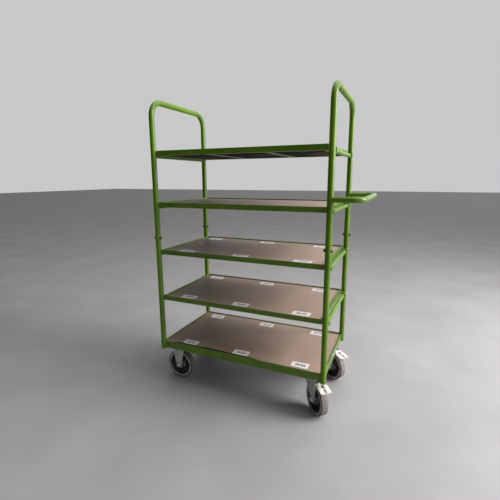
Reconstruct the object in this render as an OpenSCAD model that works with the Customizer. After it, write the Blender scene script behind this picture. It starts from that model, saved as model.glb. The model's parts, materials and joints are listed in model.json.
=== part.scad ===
// Five-tier order-picking trolley: two bent-tube end frames, a welded base on four
// castors, four hook-in shelves with board panels and a push handle at one end.
// X runs along the length with the push handle at +X, Y runs front to rear, Z is up
// from the floor. The origin is on the floor, midway between the four uprights.

/* [Frame] */
// Distance between the left and right upright centre lines
frame_l = 900; // [700:10:1200]
// Distance between the front and rear upright centre lines
frame_w = 490; // [420:5:650]
// Height of the centre line of the two top bars
hoop_h = 1508; // [1450:1:1700]
// Outside diameter of the bent upright tube
upright_d = 28; // [25:1:34]
// Wall of every tube
tube_wall = 2; // [1.5:0.5:3]
// Centre-line radius of the bends at the top of the uprights
hoop_bend_r = 76; // [60:1:110]
// Height of the lower ends of the uprights
foot_h = 195; // [182:1:198]
// Outside diameter of the bars that join each pair of uprights
cross_bar_d = 22; // [18:1:25]
// Height of the spare bolts through the uprights
spare_bolt_h = 824; // [800:1:860]

/* [Shelves] */
// Height of the rim of the base deck
base_top = 240; // [238:1:260]
// Heights of the rims of the four hook-in shelves, lowest first
tier_tops = [507, 761, 1011, 1269];
// Leg of the base frame angle
base_angle = 40; // [35:1:50]
// Leg of the shelf frame angle
shelf_angle = 25; // [20:1:30]
// Thickness of the shelf frame angle
shelf_steel = 3; // [2:0.5:4]
// Thickness of the board panels
board_t = 16; // [12:1:18]
// Gap between a shelf frame and the uprights
shelf_gap = 3; // [2:0.5:8]

/* [Handle] */
// Height of the push handle centre line
handle_h = 1042; // [1036:1:1080]
// Reach of the grip centre line beyond the right upright centre line
handle_reach = 137; // [110:1:160]
// Outside diameter of the handle tube
handle_d = 25; // [22:1:28]
// Centre-line radius of the handle corners
handle_bend_r = 48; // [40:1:70]

/* [Castors] */
// Radius of the wheels
wheel_r = 80; // [78:1:80]
// Width of the tread
tread_w = 38; // [30:1:40]
// Castor axis to upright centre line, along the length
castor_in_x = 61; // [60:1:80]
// Castor axis to upright centre line, across the width
castor_in_y = 74; // [70:1:90]
// Offset of the wheel axle behind the swivel axis
trail = 38; // [30:1:42]
// Direction in which the front right castor trails
front_swivel_a = -48; // [-180:1:180]
// Direction in which the rear right castor trails
rear_swivel_a = -31; // [-180:1:180]

/* [Hidden] */
$fn = 64;

green = [0.33, 0.55, 0.12];
zinc = [0.72, 0.73, 0.74];
board_brown = [0.58, 0.5, 0.43];
dark = [0.13, 0.13, 0.14];

upright_r = upright_d / 2;
left_x = -frame_l / 2;
right_x = frame_l / 2;
half_w = frame_w / 2;

// Base frame
base_steel = 4;
base_low = base_top - base_angle;
brace_w = 30;
brace_h = 15;
brace_wall = 1.5;
base_flange_top = base_low + base_steel;
cope = 5;

// Shelf frames
shelf_half_l = frame_l / 2 - upright_r - shelf_gap;
panel_play = 1.5;
shelf_brace_x = 150;
shelf_brace_w = 30;
shelf_brace_t = 3;
hook_w = 24;
hook_t = 4;
hook_y = half_w - upright_r - hook_w / 2 - 3;
hook_lip = 16;
cross_bar_drop = 25;
cross_bar_r = cross_bar_d / 2;

// Labels
label_l = 86;
label_w = 48;
label_t = 0.3;
label_front_y = -197;
label_rear_y = 192;
label_front_x = [-300, 7, 325];
label_rear_x = [-345, 0, 322];

// Fasteners
bolt_r = 4;
bolt_hole_r = 4.5;
bolt_head_d = 15;
bolt_head_t = 5.3;
bolt_nut_t = 6.5;
bolt_end = 2;
washer_r = 8;
plate_bolt_x = 60;
plate_bolt_y = 80;

// Castors
castor_h = 195;
seat_t = base_low - castor_h;
plate_x = 85;
plate_y = 105;
plate_t = 4;
plate_corner_r = 8;
seat_margin = 5;
seat_low_x = castor_in_x + plate_x / 2 + seat_margin;
seat_low_y = castor_in_y + plate_y / 2 + seat_margin;
race_r = 34;
race_t = 6.7;
ball_r = 3;
ball_ring_r = 26;
ball_count = 20;
fork_gap = 50;
fork_t = 4;
crown_top = 178;
crown_low = 173;
crown_back = 40;
kingpin_r = 8;
running_play = 0.05;
kingpin_head_r = 13;
axle_h = wheel_r;
axle_r = 6;
axle_head_d = 21.9;
axle_head_t = 7.5;
axle_nut_t = 10;
axle_end = 3;
leg_end_r = 17;
leg_top_back = -36;
leg_top_front = 46;
ear_s = 62;
ear_r = 9;
pin_r = 4;

// Wheel
rim_r = 66;
rim_w = 34;
rim_flange_t = 8;
web_t = 9;
hub_r = 23;
hub_l = 46;
bearing_r = 16;
bearing_w = 10;
spoke_count = 6;
spoke_w = 5;
spoke_depth = 28;

// Brake pedal
pedal_w = 46;
pedal_t = 2.5;
pedal_out = 70;
pedal_tilt = 16;
pedal_ear_y = 22;
cam_r = 11.5;
cam_w = 30;

module tube(r, length) {
    linear_extrude(length) difference() {
        circle(r);
        circle(r - tube_wall);
    }
}

module tube_bend(r, bend_r) {
    rotate_extrude(angle = 90) translate([bend_r, 0]) difference() {
        circle(r);
        circle(r - tube_wall);
    }
}

// Rounded rectangle made of plates and discs.
module rounded_plate(x, y, r, t) {
    linear_extrude(t) union() {
        square([x - 2 * r, y], center = true);
        square([x, y - 2 * r], center = true);
        for (sx = [-1, 1], sy = [-1, 1])
            translate([sx * (x / 2 - r), sy * (y / 2 - r)]) circle(r);
    }
}

module hex_prism(across_corners, t) {
    cylinder(d = across_corners, h = t, $fn = 6);
}

// The four upright tubes as solid bars, to shape the ends that meet them.
module upright_bars() {
    for (x = [left_x, right_x], y = [-half_w, half_w])
        translate([x, y, foot_h]) cylinder(r = upright_r, h = hoop_h - hoop_bend_r - foot_h);
}

// One bent tube: two uprights, two bends and the bar across the top.
module hoop(x) {
    leg = hoop_h - hoop_bend_r - foot_h;
    color(green) difference() {
        translate([x, 0, 0]) union() {
            for (y = [-half_w, half_w]) translate([0, y, foot_h]) tube(upright_r, leg);
            translate([0, half_w - hoop_bend_r, hoop_h - hoop_bend_r])
                rotate([90, 0, 90]) tube_bend(upright_r, hoop_bend_r);
            translate([0, hoop_bend_r - half_w, hoop_h - hoop_bend_r])
                rotate([90, 0, 90]) rotate(90) tube_bend(upright_r, hoop_bend_r);
            translate([0, hoop_bend_r - half_w, hoop_h])
                rotate([-90, 0, 0]) tube(upright_r, frame_w - 2 * hoop_bend_r);
        }
        for (y = [-half_w, half_w]) translate([x - upright_d, y, spare_bolt_h])
            rotate([0, 90, 0]) cylinder(r = bolt_r + 0.2, h = 2 * upright_d);
    }
}

module cross_bars(x) {
    color(green) difference() {
        for (top = tier_tops)
            translate([x, cope - half_w, top - cross_bar_drop])
                rotate([-90, 0, 0]) tube(cross_bar_r, frame_w - 2 * cope);
        upright_bars();
    }
}

module push_handle() {
    arm = handle_reach - handle_bend_r - cope;
    color(green) difference() {
        translate([right_x, 0, handle_h]) union() {
            for (y = [-half_w, half_w])
                translate([cope, y, 0]) rotate([0, 90, 0]) tube(handle_d / 2, arm);
            translate([handle_reach - handle_bend_r, half_w - handle_bend_r, 0])
                tube_bend(handle_d / 2, handle_bend_r);
            translate([handle_reach - handle_bend_r, handle_bend_r - half_w, 0])
                rotate(-90) tube_bend(handle_d / 2, handle_bend_r);
            translate([handle_reach, handle_bend_r - half_w, 0])
                rotate([-90, 0, 0]) tube(handle_d / 2, frame_w - 2 * handle_bend_r);
        }
        upright_bars();
    }
}

// An angle bar along X, upright leg on the outside and flat leg at the bottom.
module angle_bar(length, leg, t) {
    translate([-length / 2, 0, 0]) cube([length, t, leg]);
    translate([-length / 2, 0, 0]) cube([length, leg, t]);
}

// The sixteen castor bolt positions. The innermost bolt of each castor passes through the
// seat plate only, and the other three also through the flat leg of a base rail.
module at_castor_bolts() {
    for (sx = [-1, 1], sy = [-1, 1], out_x = [-1, 1], out_y = [-1, 1])
        translate([
            sx * (frame_l / 2 - castor_in_x + out_x * plate_bolt_x / 2),
            sy * (half_w - castor_in_y + out_y * plate_bolt_y / 2),
            0
        ]) {
            $head_h = out_x + out_y < 0 ? base_low : base_flange_top;
            children();
        }
}

module castor_bolt_holes() {
    at_castor_bolts() translate([0, 0, castor_h - 2 * plate_t])
        cylinder(r = bolt_hole_r, h = base_angle);
}

module base_long_rails() {
    color(green) difference() {
        for (side = [0, 180]) translate([0, 0, base_low]) rotate(side)
            translate([0, -half_w, 0]) angle_bar(frame_l - 2 * cope, base_angle, base_steel);
        upright_bars();
        castor_bolt_holes();
    }
}

module base_end_rails() {
    flat_l = frame_w - 2 * base_angle;
    color(green) difference() {
        for (side = [0, 180]) translate([0, 0, base_low]) rotate(side)
            translate([frame_l / 2, 0, 0]) {
                translate([-base_steel, cope - half_w, 0])
                    cube([base_steel, frame_w - 2 * cope, base_angle]);
                translate([-base_angle, -flat_l / 2, 0]) cube([base_angle, flat_l, base_steel]);
            }
        upright_bars();
        castor_bolt_holes();
    }
}

module base_braces() {
    span = frame_w - 2 * base_steel - 2;
    color(green) for (x = [-250, 0, 250]) translate([x, 0, base_flange_top]) difference() {
        translate([-brace_w / 2, -span / 2, 0]) cube([brace_w, span, brace_h]);
        translate([brace_wall - brace_w / 2, -span / 2 - 1, brace_wall])
            cube([brace_w - 2 * brace_wall, span + 2, brace_h - 2 * brace_wall]);
    }
}

module base_panel() {
    clear = base_steel + panel_play;
    color(board_brown) difference() {
        translate([left_x + clear, clear - half_w, base_flange_top + brace_h])
            cube([frame_l - 2 * clear, frame_w - 2 * clear, board_t]);
        for (x = [left_x, right_x], y = [-half_w, half_w])
            translate([x, y, base_low]) cylinder(r = upright_r + panel_play, h = 2 * base_angle);
    }
}

module shelf_long_rails(top) {
    color(green) for (side = [0, 180]) translate([0, 0, top - shelf_angle]) rotate(side)
        translate([0, -half_w, 0]) angle_bar(2 * shelf_half_l, shelf_angle, shelf_steel);
}

// End rails with the two flat hooks that drop over the cross bar.
module shelf_end_rails(top) {
    rail_l = frame_w - 2 * shelf_steel;
    flat_l = frame_w - 2 * shelf_angle;
    hook_h = cross_bar_r + shelf_angle - cross_bar_drop;
    hook_reach = frame_l / 2 - shelf_half_l + cross_bar_r + 0.5;
    color(green) for (side = [0, 180]) translate([0, 0, top - shelf_angle]) rotate(side)
        translate([shelf_half_l, 0, 0]) union() {
            translate([-shelf_steel, -rail_l / 2, shelf_steel])
                cube([shelf_steel, rail_l, shelf_angle - shelf_steel]);
            translate([-shelf_angle, -flat_l / 2, 0]) cube([shelf_angle, flat_l, shelf_steel]);
            for (y = [-hook_y, hook_y]) {
                translate([0, y - hook_w / 2, hook_h]) cube([hook_reach + hook_t, hook_w, hook_t]);
                translate([hook_reach, y - hook_w / 2, hook_h - hook_lip])
                    cube([hook_t, hook_w, hook_lip]);
            }
        }
}

module shelf_panel(top) {
    clear = shelf_steel + panel_play;
    low = top - shelf_angle + shelf_steel;
    color(board_brown) translate([clear - shelf_half_l, clear - half_w, low])
        cube([2 * (shelf_half_l - clear), frame_w - 2 * clear, board_t]);
}

// Two flat bars under each board, between the flat legs of the long rails.
module shelf_braces() {
    span = frame_w - 2 * shelf_angle;
    color(green) for (top = tier_tops, x = [-shelf_brace_x, shelf_brace_x])
        translate([x - shelf_brace_w / 2, -span / 2, top - shelf_angle])
            cube([shelf_brace_w, span, shelf_brace_t]);
}

// Small blank labels stuck on the three lowest decks.
module shelf_labels() {
    decks = [
        base_flange_top + brace_h + board_t,
        tier_tops[0] - shelf_angle + shelf_steel + board_t,
        tier_tops[1] - shelf_angle + shelf_steel + board_t
    ];
    color("white") for (deck = decks, i = [0:2]) {
        translate([label_front_x[i] - label_l / 2, label_front_y - label_w / 2, deck])
            cube([label_l, label_w, label_t]);
        translate([label_rear_x[i] - label_l / 2, label_rear_y - label_w / 2, deck])
            cube([label_l, label_w, label_t]);
    }
}

// Each spare bolt runs along X through its upright, head outside and nut inside.
module at_spare_bolts() {
    for (side = [0, 180]) translate([0, 0, spare_bolt_h]) rotate(side)
        for (y = [-half_w, half_w]) translate([frame_l / 2, y, 0]) rotate([0, 90, 0]) children();
}

module spare_bolts() {
    color(zinc) at_spare_bolts() union() {
        translate([0, 0, -upright_r - bolt_nut_t - bolt_end])
            cylinder(r = bolt_r, h = upright_d + bolt_nut_t + bolt_end);
        translate([0, 0, upright_r]) cylinder(r = washer_r, h = 1.6);
        translate([0, 0, upright_r]) hex_prism(bolt_head_d, bolt_head_t);
    }
}

module spare_nuts() {
    color(zinc) at_spare_bolts() difference() {
        translate([0, 0, -upright_r - bolt_nut_t]) hex_prism(bolt_head_d, bolt_nut_t);
        translate([0, 0, -upright_d]) cylinder(r = bolt_r, h = 2 * upright_d);
    }
}

module foot_plugs() {
    color(dark) for (x = [left_x, right_x], y = [-half_w, half_w])
        translate([x, y, foot_h + 0.5]) cylinder(r = upright_r - tube_wall, h = 12);
}

// Flat plates welded under the base corners, which carry the castors.
module castor_seats() {
    seat_x = seat_low_x - upright_r;
    seat_y = seat_low_y - upright_r;
    color(green) difference() {
        for (sx = [-1, 1], sy = [-1, 1]) translate([
            sx * (frame_l / 2 - upright_r - seat_x / 2),
            sy * (half_w - upright_r - seat_y / 2),
            castor_h
        ]) rounded_plate(seat_x, seat_y, 4, seat_t);
        castor_bolt_holes();
    }
}

module castor_bolts() {
    low = castor_h - plate_t - bolt_nut_t - bolt_end;
    color(zinc) at_castor_bolts() union() {
        translate([0, 0, low]) cylinder(r = bolt_r, h = $head_h - low);
        translate([0, 0, $head_h]) hex_prism(bolt_head_d, bolt_head_t);
    }
}

module castor_nuts() {
    color(zinc) at_castor_bolts() translate([0, 0, castor_h - plate_t - bolt_nut_t]) difference() {
        hex_prism(bolt_head_d, bolt_nut_t);
        translate([0, 0, -1]) cylinder(r = bolt_r, h = bolt_nut_t + 2);
    }
}

// Stands children on a castor's axis: sx is -1 at the left end, sy is -1 at the front.
module at_castor(sx, sy, a = 0) {
    translate([sx * (frame_l / 2 - castor_in_x), sy * (half_w - castor_in_y), 0]) rotate(a) children();
}

module castor_plate() {
    difference() {
        translate([0, 0, castor_h - plate_t]) rounded_plate(plate_x, plate_y, plate_corner_r, plate_t);
        for (x = [-1, 1], y = [-1, 1])
            translate([x * plate_bolt_x / 2, y * plate_bolt_y / 2, castor_h - 2 * plate_t])
                cylinder(r = bolt_hole_r, h = 3 * plate_t);
    }
}

module swivel_plates() {
    color(zinc) for (sy = [-1, 1]) at_castor(1, sy) difference() {
        union() {
            castor_plate();
            translate([0, 0, castor_h - plate_t - race_t]) difference() {
                cylinder(r = race_r, h = race_t);
                translate([0, 0, -1]) cylinder(r = race_r - 2 * ball_r - 5, h = race_t + 1);
            }
        }
        translate([0, 0, castor_h - 2 * plate_t]) cylinder(r = kingpin_r, h = 3 * plate_t);
    }
}

module swivel_kingpins() {
    head_top = crown_low - 0.3;
    head_t = 7;
    color(zinc) for (sy = [-1, 1]) at_castor(1, sy) union() {
        translate([0, 0, head_top - head_t]) cylinder(r = kingpin_head_r, h = head_t);
        translate([0, 0, head_top]) cylinder(r = kingpin_r, h = castor_h - 0.5 - head_top);
    }
}

module swivel_balls() {
    centre_h = castor_h - plate_t - race_t - ball_r;
    color(zinc) for (sy = [-1, 1], i = [0:ball_count - 1])
        at_castor(1, sy, i * 360 / ball_count) translate([ball_ring_r, 0, centre_h])
            sphere(r = ball_r, $fn = 24);
}

// Bar or hole along Y, centred on the castor's middle plane.
module cross_pin(s, h, r, length) {
    translate([s, -length / 2, h]) rotate([-90, 0, 0]) cylinder(r = r, h = length);
}

// Raked side of the swivel fork, drawn from the side. The outline's corners lie just inside
// the round ends, so each straight side crosses its arc.
module swivel_leg_outline() {
    ear_h = crown_top - ear_r;
    side = leg_end_r - 2;
    polygon([
        [leg_top_back, crown_top],
        [leg_top_front, crown_top],
        [ear_s, crown_top - 1],
        [ear_s + ear_r - 3, ear_h],
        [trail + side * cos(10), axle_h + side * sin(10)],
        [trail - side * cos(20), axle_h + side * sin(20)],
        [leg_top_back + 2, crown_low - 13]
    ]);
    translate([trail, axle_h]) circle(leg_end_r);
    translate([ear_s, ear_h]) circle(ear_r);
}

module fixed_leg_outline() {
    side = leg_end_r - 2;
    polygon([
        [-plate_x / 2 + 4, castor_h - plate_t],
        [plate_x / 2 - 4, castor_h - plate_t],
        [side * cos(12), axle_h + side * sin(12)],
        [-side * cos(12), axle_h + side * sin(12)]
    ]);
    translate([0, axle_h]) circle(leg_end_r);
}

// Two side plates with a gap for the wheel; the child is their outline seen from the side.
module fork_legs() {
    for (y = [fork_gap / 2 + fork_t, -fork_gap / 2])
        translate([0, y, 0]) rotate([90, 0, 0]) linear_extrude(fork_t) children();
}

module swivel_fork(sy, a) {
    half_t = fork_gap / 2 + fork_t;
    crown_t = crown_top - crown_low;
    color(zinc) at_castor(1, sy, a) difference() {
        union() {
            fork_legs() swivel_leg_outline();
            translate([leg_top_back, -half_t, crown_low])
                cube([leg_top_front - leg_top_back, 2 * half_t, crown_t]);
            translate([0, 0, crown_low]) cylinder(r = crown_back, h = crown_t);
        }
        translate([0, 0, crown_low - 1]) cylinder(r = kingpin_r + running_play, h = crown_t + 2);
        cross_pin(trail, axle_h, axle_r + 0.1, 3 * half_t);
        cross_pin(ear_s, crown_top - ear_r, pin_r, 3 * half_t);
    }
}

module fixed_fork(sy) {
    color(zinc) at_castor(-1, sy) difference() {
        union() {
            fork_legs() fixed_leg_outline();
            castor_plate();
        }
        cross_pin(0, axle_h, axle_r + 0.1, 2 * fork_gap);
    }
}

// Axle bolt with its head at the front, and a collar each side that spaces the bearings.
module axle(s) {
    half_t = fork_gap / 2 + fork_t;
    collar_t = (fork_gap - hub_l) / 2 - 0.3;
    translate([s, -half_t, axle_h]) rotate([-90, 0, 0])
        cylinder(r = axle_r, h = 2 * half_t + axle_nut_t + axle_end);
    translate([s, -half_t - axle_head_t, axle_h]) rotate([-90, 0, 0])
        hex_prism(axle_head_d, axle_head_t);
    for (y = [-fork_gap / 2, fork_gap / 2 - collar_t])
        translate([s, y, axle_h]) rotate([-90, 0, 0]) cylinder(r = axle_r + 2.5, h = collar_t);
}

module axle_nut(s) {
    translate([s, fork_gap / 2 + fork_t, axle_h]) rotate([-90, 0, 0]) difference() {
        hex_prism(axle_head_d, axle_nut_t);
        translate([0, 0, -1]) cylinder(r = axle_r, h = axle_nut_t + 2);
    }
}

module swivel_axle(sy, a) {
    color(zinc) at_castor(1, sy, a) axle(trail);
}

module swivel_axle_nut(sy, a) {
    color(zinc) at_castor(1, sy, a) axle_nut(trail);
}

module fixed_axles() {
    color(zinc) for (sy = [-1, 1]) at_castor(-1, sy) axle(0);
}

module fixed_axle_nuts() {
    color(zinc) for (sy = [-1, 1]) at_castor(-1, sy) axle_nut(0);
}

// Solid rubber tread with rounded shoulders.
module tyre(s) {
    shoulder = 5;
    color(dark) translate([s, 0, axle_h]) rotate([90, 0, 0]) rotate_extrude() union() {
        translate([rim_r, -tread_w / 2]) square([wheel_r - rim_r - shoulder, tread_w]);
        translate([rim_r, shoulder - tread_w / 2]) square([wheel_r - rim_r, tread_w - 2 * shoulder]);
        for (y = [-1, 1]) translate([wheel_r - shoulder, y * (tread_w / 2 - shoulder)])
            circle(shoulder);
    }
}

// Moulded wheel centre: rim band, web, hub with two bearing seats, and ribs.
module rim(s) {
    color([0.2, 0.2, 0.21]) translate([s, 0, axle_h]) rotate([90, 0, 0]) union() {
        rotate_extrude() union() {
            translate([rim_r - rim_flange_t, -rim_w / 2]) square([rim_flange_t, rim_w]);
            translate([hub_r - 1, -web_t / 2]) square([rim_r - hub_r - 1, web_t]);
            translate([bearing_r, -hub_l / 2]) square([hub_r - bearing_r, hub_l]);
            translate([bearing_r - 2, bearing_w - hub_l / 2]) square([4, hub_l - 2 * bearing_w]);
        }
        for (i = [0:spoke_count - 1]) rotate(i * 360 / spoke_count)
            translate([hub_r - 1, -spoke_w / 2, -spoke_depth / 2])
                cube([rim_r - hub_r - rim_flange_t + 2, spoke_w, spoke_depth]);
    }
}

module bearings(s) {
    color(zinc) for (y = [bearing_w - hub_l / 2, hub_l / 2])
        translate([s, y, axle_h]) rotate([90, 0, 0]) difference() {
            cylinder(r = bearing_r, h = bearing_w);
            translate([0, 0, -1]) cylinder(r = axle_r + running_play, h = bearing_w + 2);
        }
}

// Stands children at the pedal's pin, turned down by the pedal's resting tilt.
module at_pedal(sy, a) {
    at_castor(1, sy, a) translate([ear_s, 0, crown_top - ear_r]) rotate([0, pedal_tilt, 0]) children();
}

// Stamped foot pedal with two long holes, a turned-up lip and an ear on each side.
module brake_pedal(sy, a) {
    plate_low = 4.5;
    ear_t = 2.5;
    slot_r = 5.5;
    tread_w = 56;
    color([0.85, 0.83, 0.78]) at_pedal(sy, a) difference() {
        union() {
            translate([6, -pedal_w / 2, plate_low]) cube([pedal_out - 6, pedal_w, pedal_t]);
            translate([16, -tread_w / 2, plate_low]) cube([pedal_out - 16, tread_w, pedal_t]);
            translate([pedal_out - pedal_t, -tread_w / 2, plate_low])
                cube([pedal_t, tread_w, 8]);
            for (y = [-pedal_ear_y + ear_t, pedal_ear_y]) translate([0, y, 0]) rotate([90, 0, 0])
                linear_extrude(ear_t) union() {
                    circle(7);
                    polygon([[0, -7], [24, 0], [36, plate_low + 1], [6, plate_low + 2], [0, 7]]);
                }
        }
        for (x = [19, 45]) long_hole(x, 9, slot_r, plate_low - 1, pedal_t + 2);
        cross_pin(0, 0, pin_r + running_play, 2 * pedal_w);
    }
}

// Slot along X with round ends.
module long_hole(x, length, r, low, t) {
    translate([x, 0, low]) linear_extrude(t) union() {
        translate([0, -r]) square([length, 2 * r]);
        circle(r);
        translate([length, 0]) circle(r);
    }
}

// Steel nose under the pin, which comes down on the tread as the pedal is pressed.
module brake_shoe(sy, a) {
    nose = 19;
    color(zinc) at_castor(1, sy, a) translate([ear_s, cam_w / 2, crown_top - ear_r]) rotate([90, 0, 0])
        linear_extrude(cam_w) difference() {
            union() {
                circle(7);
                rotate(nose - 106) intersection() {
                    circle(cam_r);
                    translate([0, -5]) square([2 * cam_r, 10]);
                }
            }
            circle(pin_r + running_play);
        }
}

module brake_pin(sy, a) {
    half_t = fork_gap / 2 + fork_t;
    color(zinc) at_castor(1, sy, a) union() {
        cross_pin(ear_s, crown_top - ear_r, pin_r, 2 * half_t);
        for (y = [-half_t - 1.5, half_t])
            translate([ear_s, y, crown_top - ear_r]) rotate([-90, 0, 0])
                cylinder(r = pin_r + 2, h = 1.5);
    }
}

hoop(left_x);  // left_hoop
hoop(right_x);  // right_hoop
cross_bars(left_x);  // left_cross_bars
cross_bars(right_x);  // right_cross_bars
push_handle();
base_long_rails();
base_end_rails();
base_braces();
base_panel();
shelf_long_rails(tier_tops[0]);  // shelf_1_long_rails
shelf_end_rails(tier_tops[0]);  // shelf_1_end_rails
shelf_panel(tier_tops[0]);  // shelf_1_panel
shelf_long_rails(tier_tops[1]);  // shelf_2_long_rails
shelf_end_rails(tier_tops[1]);  // shelf_2_end_rails
shelf_panel(tier_tops[1]);  // shelf_2_panel
shelf_long_rails(tier_tops[2]);  // shelf_3_long_rails
shelf_end_rails(tier_tops[2]);  // shelf_3_end_rails
shelf_panel(tier_tops[2]);  // shelf_3_panel
shelf_long_rails(tier_tops[3]);  // shelf_4_long_rails
shelf_end_rails(tier_tops[3]);  // shelf_4_end_rails
shelf_panel(tier_tops[3]);  // shelf_4_panel
shelf_braces();
shelf_labels();
spare_bolts();
spare_nuts();
foot_plugs();
castor_seats();
castor_bolts();
castor_nuts();
swivel_plates();
swivel_kingpins();
swivel_balls();
swivel_fork(-1, front_swivel_a);  // front_swivel_fork
swivel_axle(-1, front_swivel_a);  // front_swivel_axle
swivel_axle_nut(-1, front_swivel_a);  // front_swivel_axle_nut
brake_pedal(-1, front_swivel_a);  // front_brake_pedal
brake_shoe(-1, front_swivel_a);  // front_brake_shoe
brake_pin(-1, front_swivel_a);  // front_brake_pin
at_castor(1, -1, front_swivel_a) tyre(trail);  // front_swivel_tyre
at_castor(1, -1, front_swivel_a) rim(trail);  // front_swivel_rim
at_castor(1, -1, front_swivel_a) bearings(trail);  // front_swivel_bearings
swivel_fork(1, rear_swivel_a);  // rear_swivel_fork
swivel_axle(1, rear_swivel_a);  // rear_swivel_axle
swivel_axle_nut(1, rear_swivel_a);  // rear_swivel_axle_nut
brake_pedal(1, rear_swivel_a);  // rear_brake_pedal
brake_shoe(1, rear_swivel_a);  // rear_brake_shoe
brake_pin(1, rear_swivel_a);  // rear_brake_pin
at_castor(1, 1, rear_swivel_a) tyre(trail);  // rear_swivel_tyre
at_castor(1, 1, rear_swivel_a) rim(trail);  // rear_swivel_rim
at_castor(1, 1, rear_swivel_a) bearings(trail);  // rear_swivel_bearings
fixed_fork(-1);  // front_fixed_fork
fixed_fork(1);  // rear_fixed_fork
fixed_axles();
fixed_axle_nuts();
at_castor(-1, -1) tyre(0);  // front_fixed_tyre
at_castor(-1, -1) rim(0);  // front_fixed_rim
at_castor(-1, -1) bearings(0);  // front_fixed_bearings
at_castor(-1, 1) tyre(0);  // rear_fixed_tyre
at_castor(-1, 1) rim(0);  // rear_fixed_rim
at_castor(-1, 1) bearings(0);  // rear_fixed_bearings
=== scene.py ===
import json
import math

import bmesh
import bpy
from mathutils import Matrix, Vector


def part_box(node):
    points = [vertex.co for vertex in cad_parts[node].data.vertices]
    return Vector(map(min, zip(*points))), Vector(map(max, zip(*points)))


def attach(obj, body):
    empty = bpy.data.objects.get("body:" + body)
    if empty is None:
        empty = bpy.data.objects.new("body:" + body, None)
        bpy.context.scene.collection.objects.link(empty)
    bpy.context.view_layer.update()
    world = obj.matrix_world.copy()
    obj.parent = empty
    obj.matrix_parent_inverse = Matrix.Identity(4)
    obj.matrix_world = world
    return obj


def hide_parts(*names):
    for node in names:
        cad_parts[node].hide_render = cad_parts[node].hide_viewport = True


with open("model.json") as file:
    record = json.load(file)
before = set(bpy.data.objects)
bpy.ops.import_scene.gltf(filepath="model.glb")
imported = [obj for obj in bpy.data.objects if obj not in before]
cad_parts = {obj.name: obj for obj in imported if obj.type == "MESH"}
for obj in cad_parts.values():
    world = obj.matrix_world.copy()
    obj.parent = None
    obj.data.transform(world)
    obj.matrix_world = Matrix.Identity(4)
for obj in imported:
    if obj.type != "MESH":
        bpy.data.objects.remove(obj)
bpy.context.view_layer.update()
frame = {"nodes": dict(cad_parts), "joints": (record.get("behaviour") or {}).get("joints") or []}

# ==== End hoops ====
# Each end frame is one length of round steel tube, bent cold into two uprights and a top bar
# and powder coated a yellowish green. The feet are left open and take push-in plugs.

TUBE_WALL = 0.002
HOOP_BEND = 0.076
SEEN_INSIDE = 0.04
SHARP_ANGLE, BEVEL_ANGLE = math.radians(35), math.radians(50)
ACROSS = Vector((1, 0, 0))
DEEP = Vector((0, 1, 0))
UP = Vector((0, 0, 1))


def loft(rings, joined=False, capped=True):
    """Skins a row of point rings: joined makes the row endless, capped fills its two ends."""
    width = len(rings[0])
    points = [Vector(point) for ring in rings for point in ring]
    faces = []
    for i in range(len(rings) if joined else len(rings) - 1):
        here, there = i * width, (i + 1) % len(rings) * width
        for j in range(width):
            k = (j + 1) % width
            faces.append((here + j, here + k, there + k, there + j))
    if capped and not joined:
        faces.append(tuple(range(width)))
        faces.append(tuple(range(len(points) - width, len(points))))
    return points, faces


def arc(centre, start, end, steps):
    """Points on a quarter turn about a centre, from one spoke of it to another."""
    turns = [math.radians(90 * i / steps) for i in range(steps + 1)]
    return [centre + start * math.cos(t) + end * math.sin(t) for t in turns]


def along(path, outlines, up, closed=False):
    """Rings that carry an outline along a path: one outline for every point, or one for all."""
    rings = []
    for i, point in enumerate(path):
        ahead = path[(i + 1) % len(path)] if closed else path[min(i + 1, len(path) - 1)]
        behind = path[i - 1] if closed else path[max(i - 1, 0)]
        way = (ahead - behind).normalized()
        lift = (up - way * up.dot(way)).normalized()
        side = lift.cross(way)
        outline = outlines[i] if isinstance(outlines[0], list) else outlines
        rings.append([point + side * a + lift * b for a, b in outline])
    return rings


def round_outline(radius, sides=32):
    turns = [math.tau * i / sides for i in range(sides)]
    return [(radius * math.cos(t), radius * math.sin(t)) for t in turns]


def tube(path, radius, up):
    """A bent tube with open ends, its wall turned in at each end."""
    outer = along(path, round_outline(radius), up)
    inner = along(path, round_outline(radius - TUBE_WALL), up)
    start = (path[1] - path[0]).normalized() * SEEN_INSIDE
    end = (path[-2] - path[-1]).normalized() * SEEN_INSIDE
    rings = [[p + start for p in inner[0]], inner[0], *outer, inner[-1], [p + end for p in inner[-1]]]
    return loft(rings, capped=False)


def make_piece(name, parts, finish, body, nodes, place=None, edge=0.0):
    """Joins lofted parts into one mesh, which rides on a body and stands for its CAD nodes."""
    points, faces = [], []
    for part_points, part_faces in parts:
        faces += [[len(points) + i for i in face] for face in part_faces]
        points += part_points
    mesh = bpy.data.meshes.new(name)
    mesh.from_pydata(points, [], faces)
    build = bmesh.new()
    build.from_mesh(mesh)
    bmesh.ops.recalc_face_normals(build, faces=build.faces)
    build.to_mesh(mesh)
    build.free()
    mesh.shade_smooth()
    mesh.set_sharp_from_angle(angle=SHARP_ANGLE)
    mesh.materials.append(finish)
    piece = bpy.data.objects.new(name, mesh)
    bpy.context.scene.collection.objects.link(piece)
    if edge:
        bevel = piece.modifiers.new("worn_edge", "BEVEL")
        bevel.width = edge
        bevel.segments = 2
        bevel.limit_method = "ANGLE"
        bevel.angle_limit = BEVEL_ANGLE
    if place:
        piece.matrix_world = place
    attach(piece, body)
    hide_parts(*nodes)
    return piece


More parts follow.
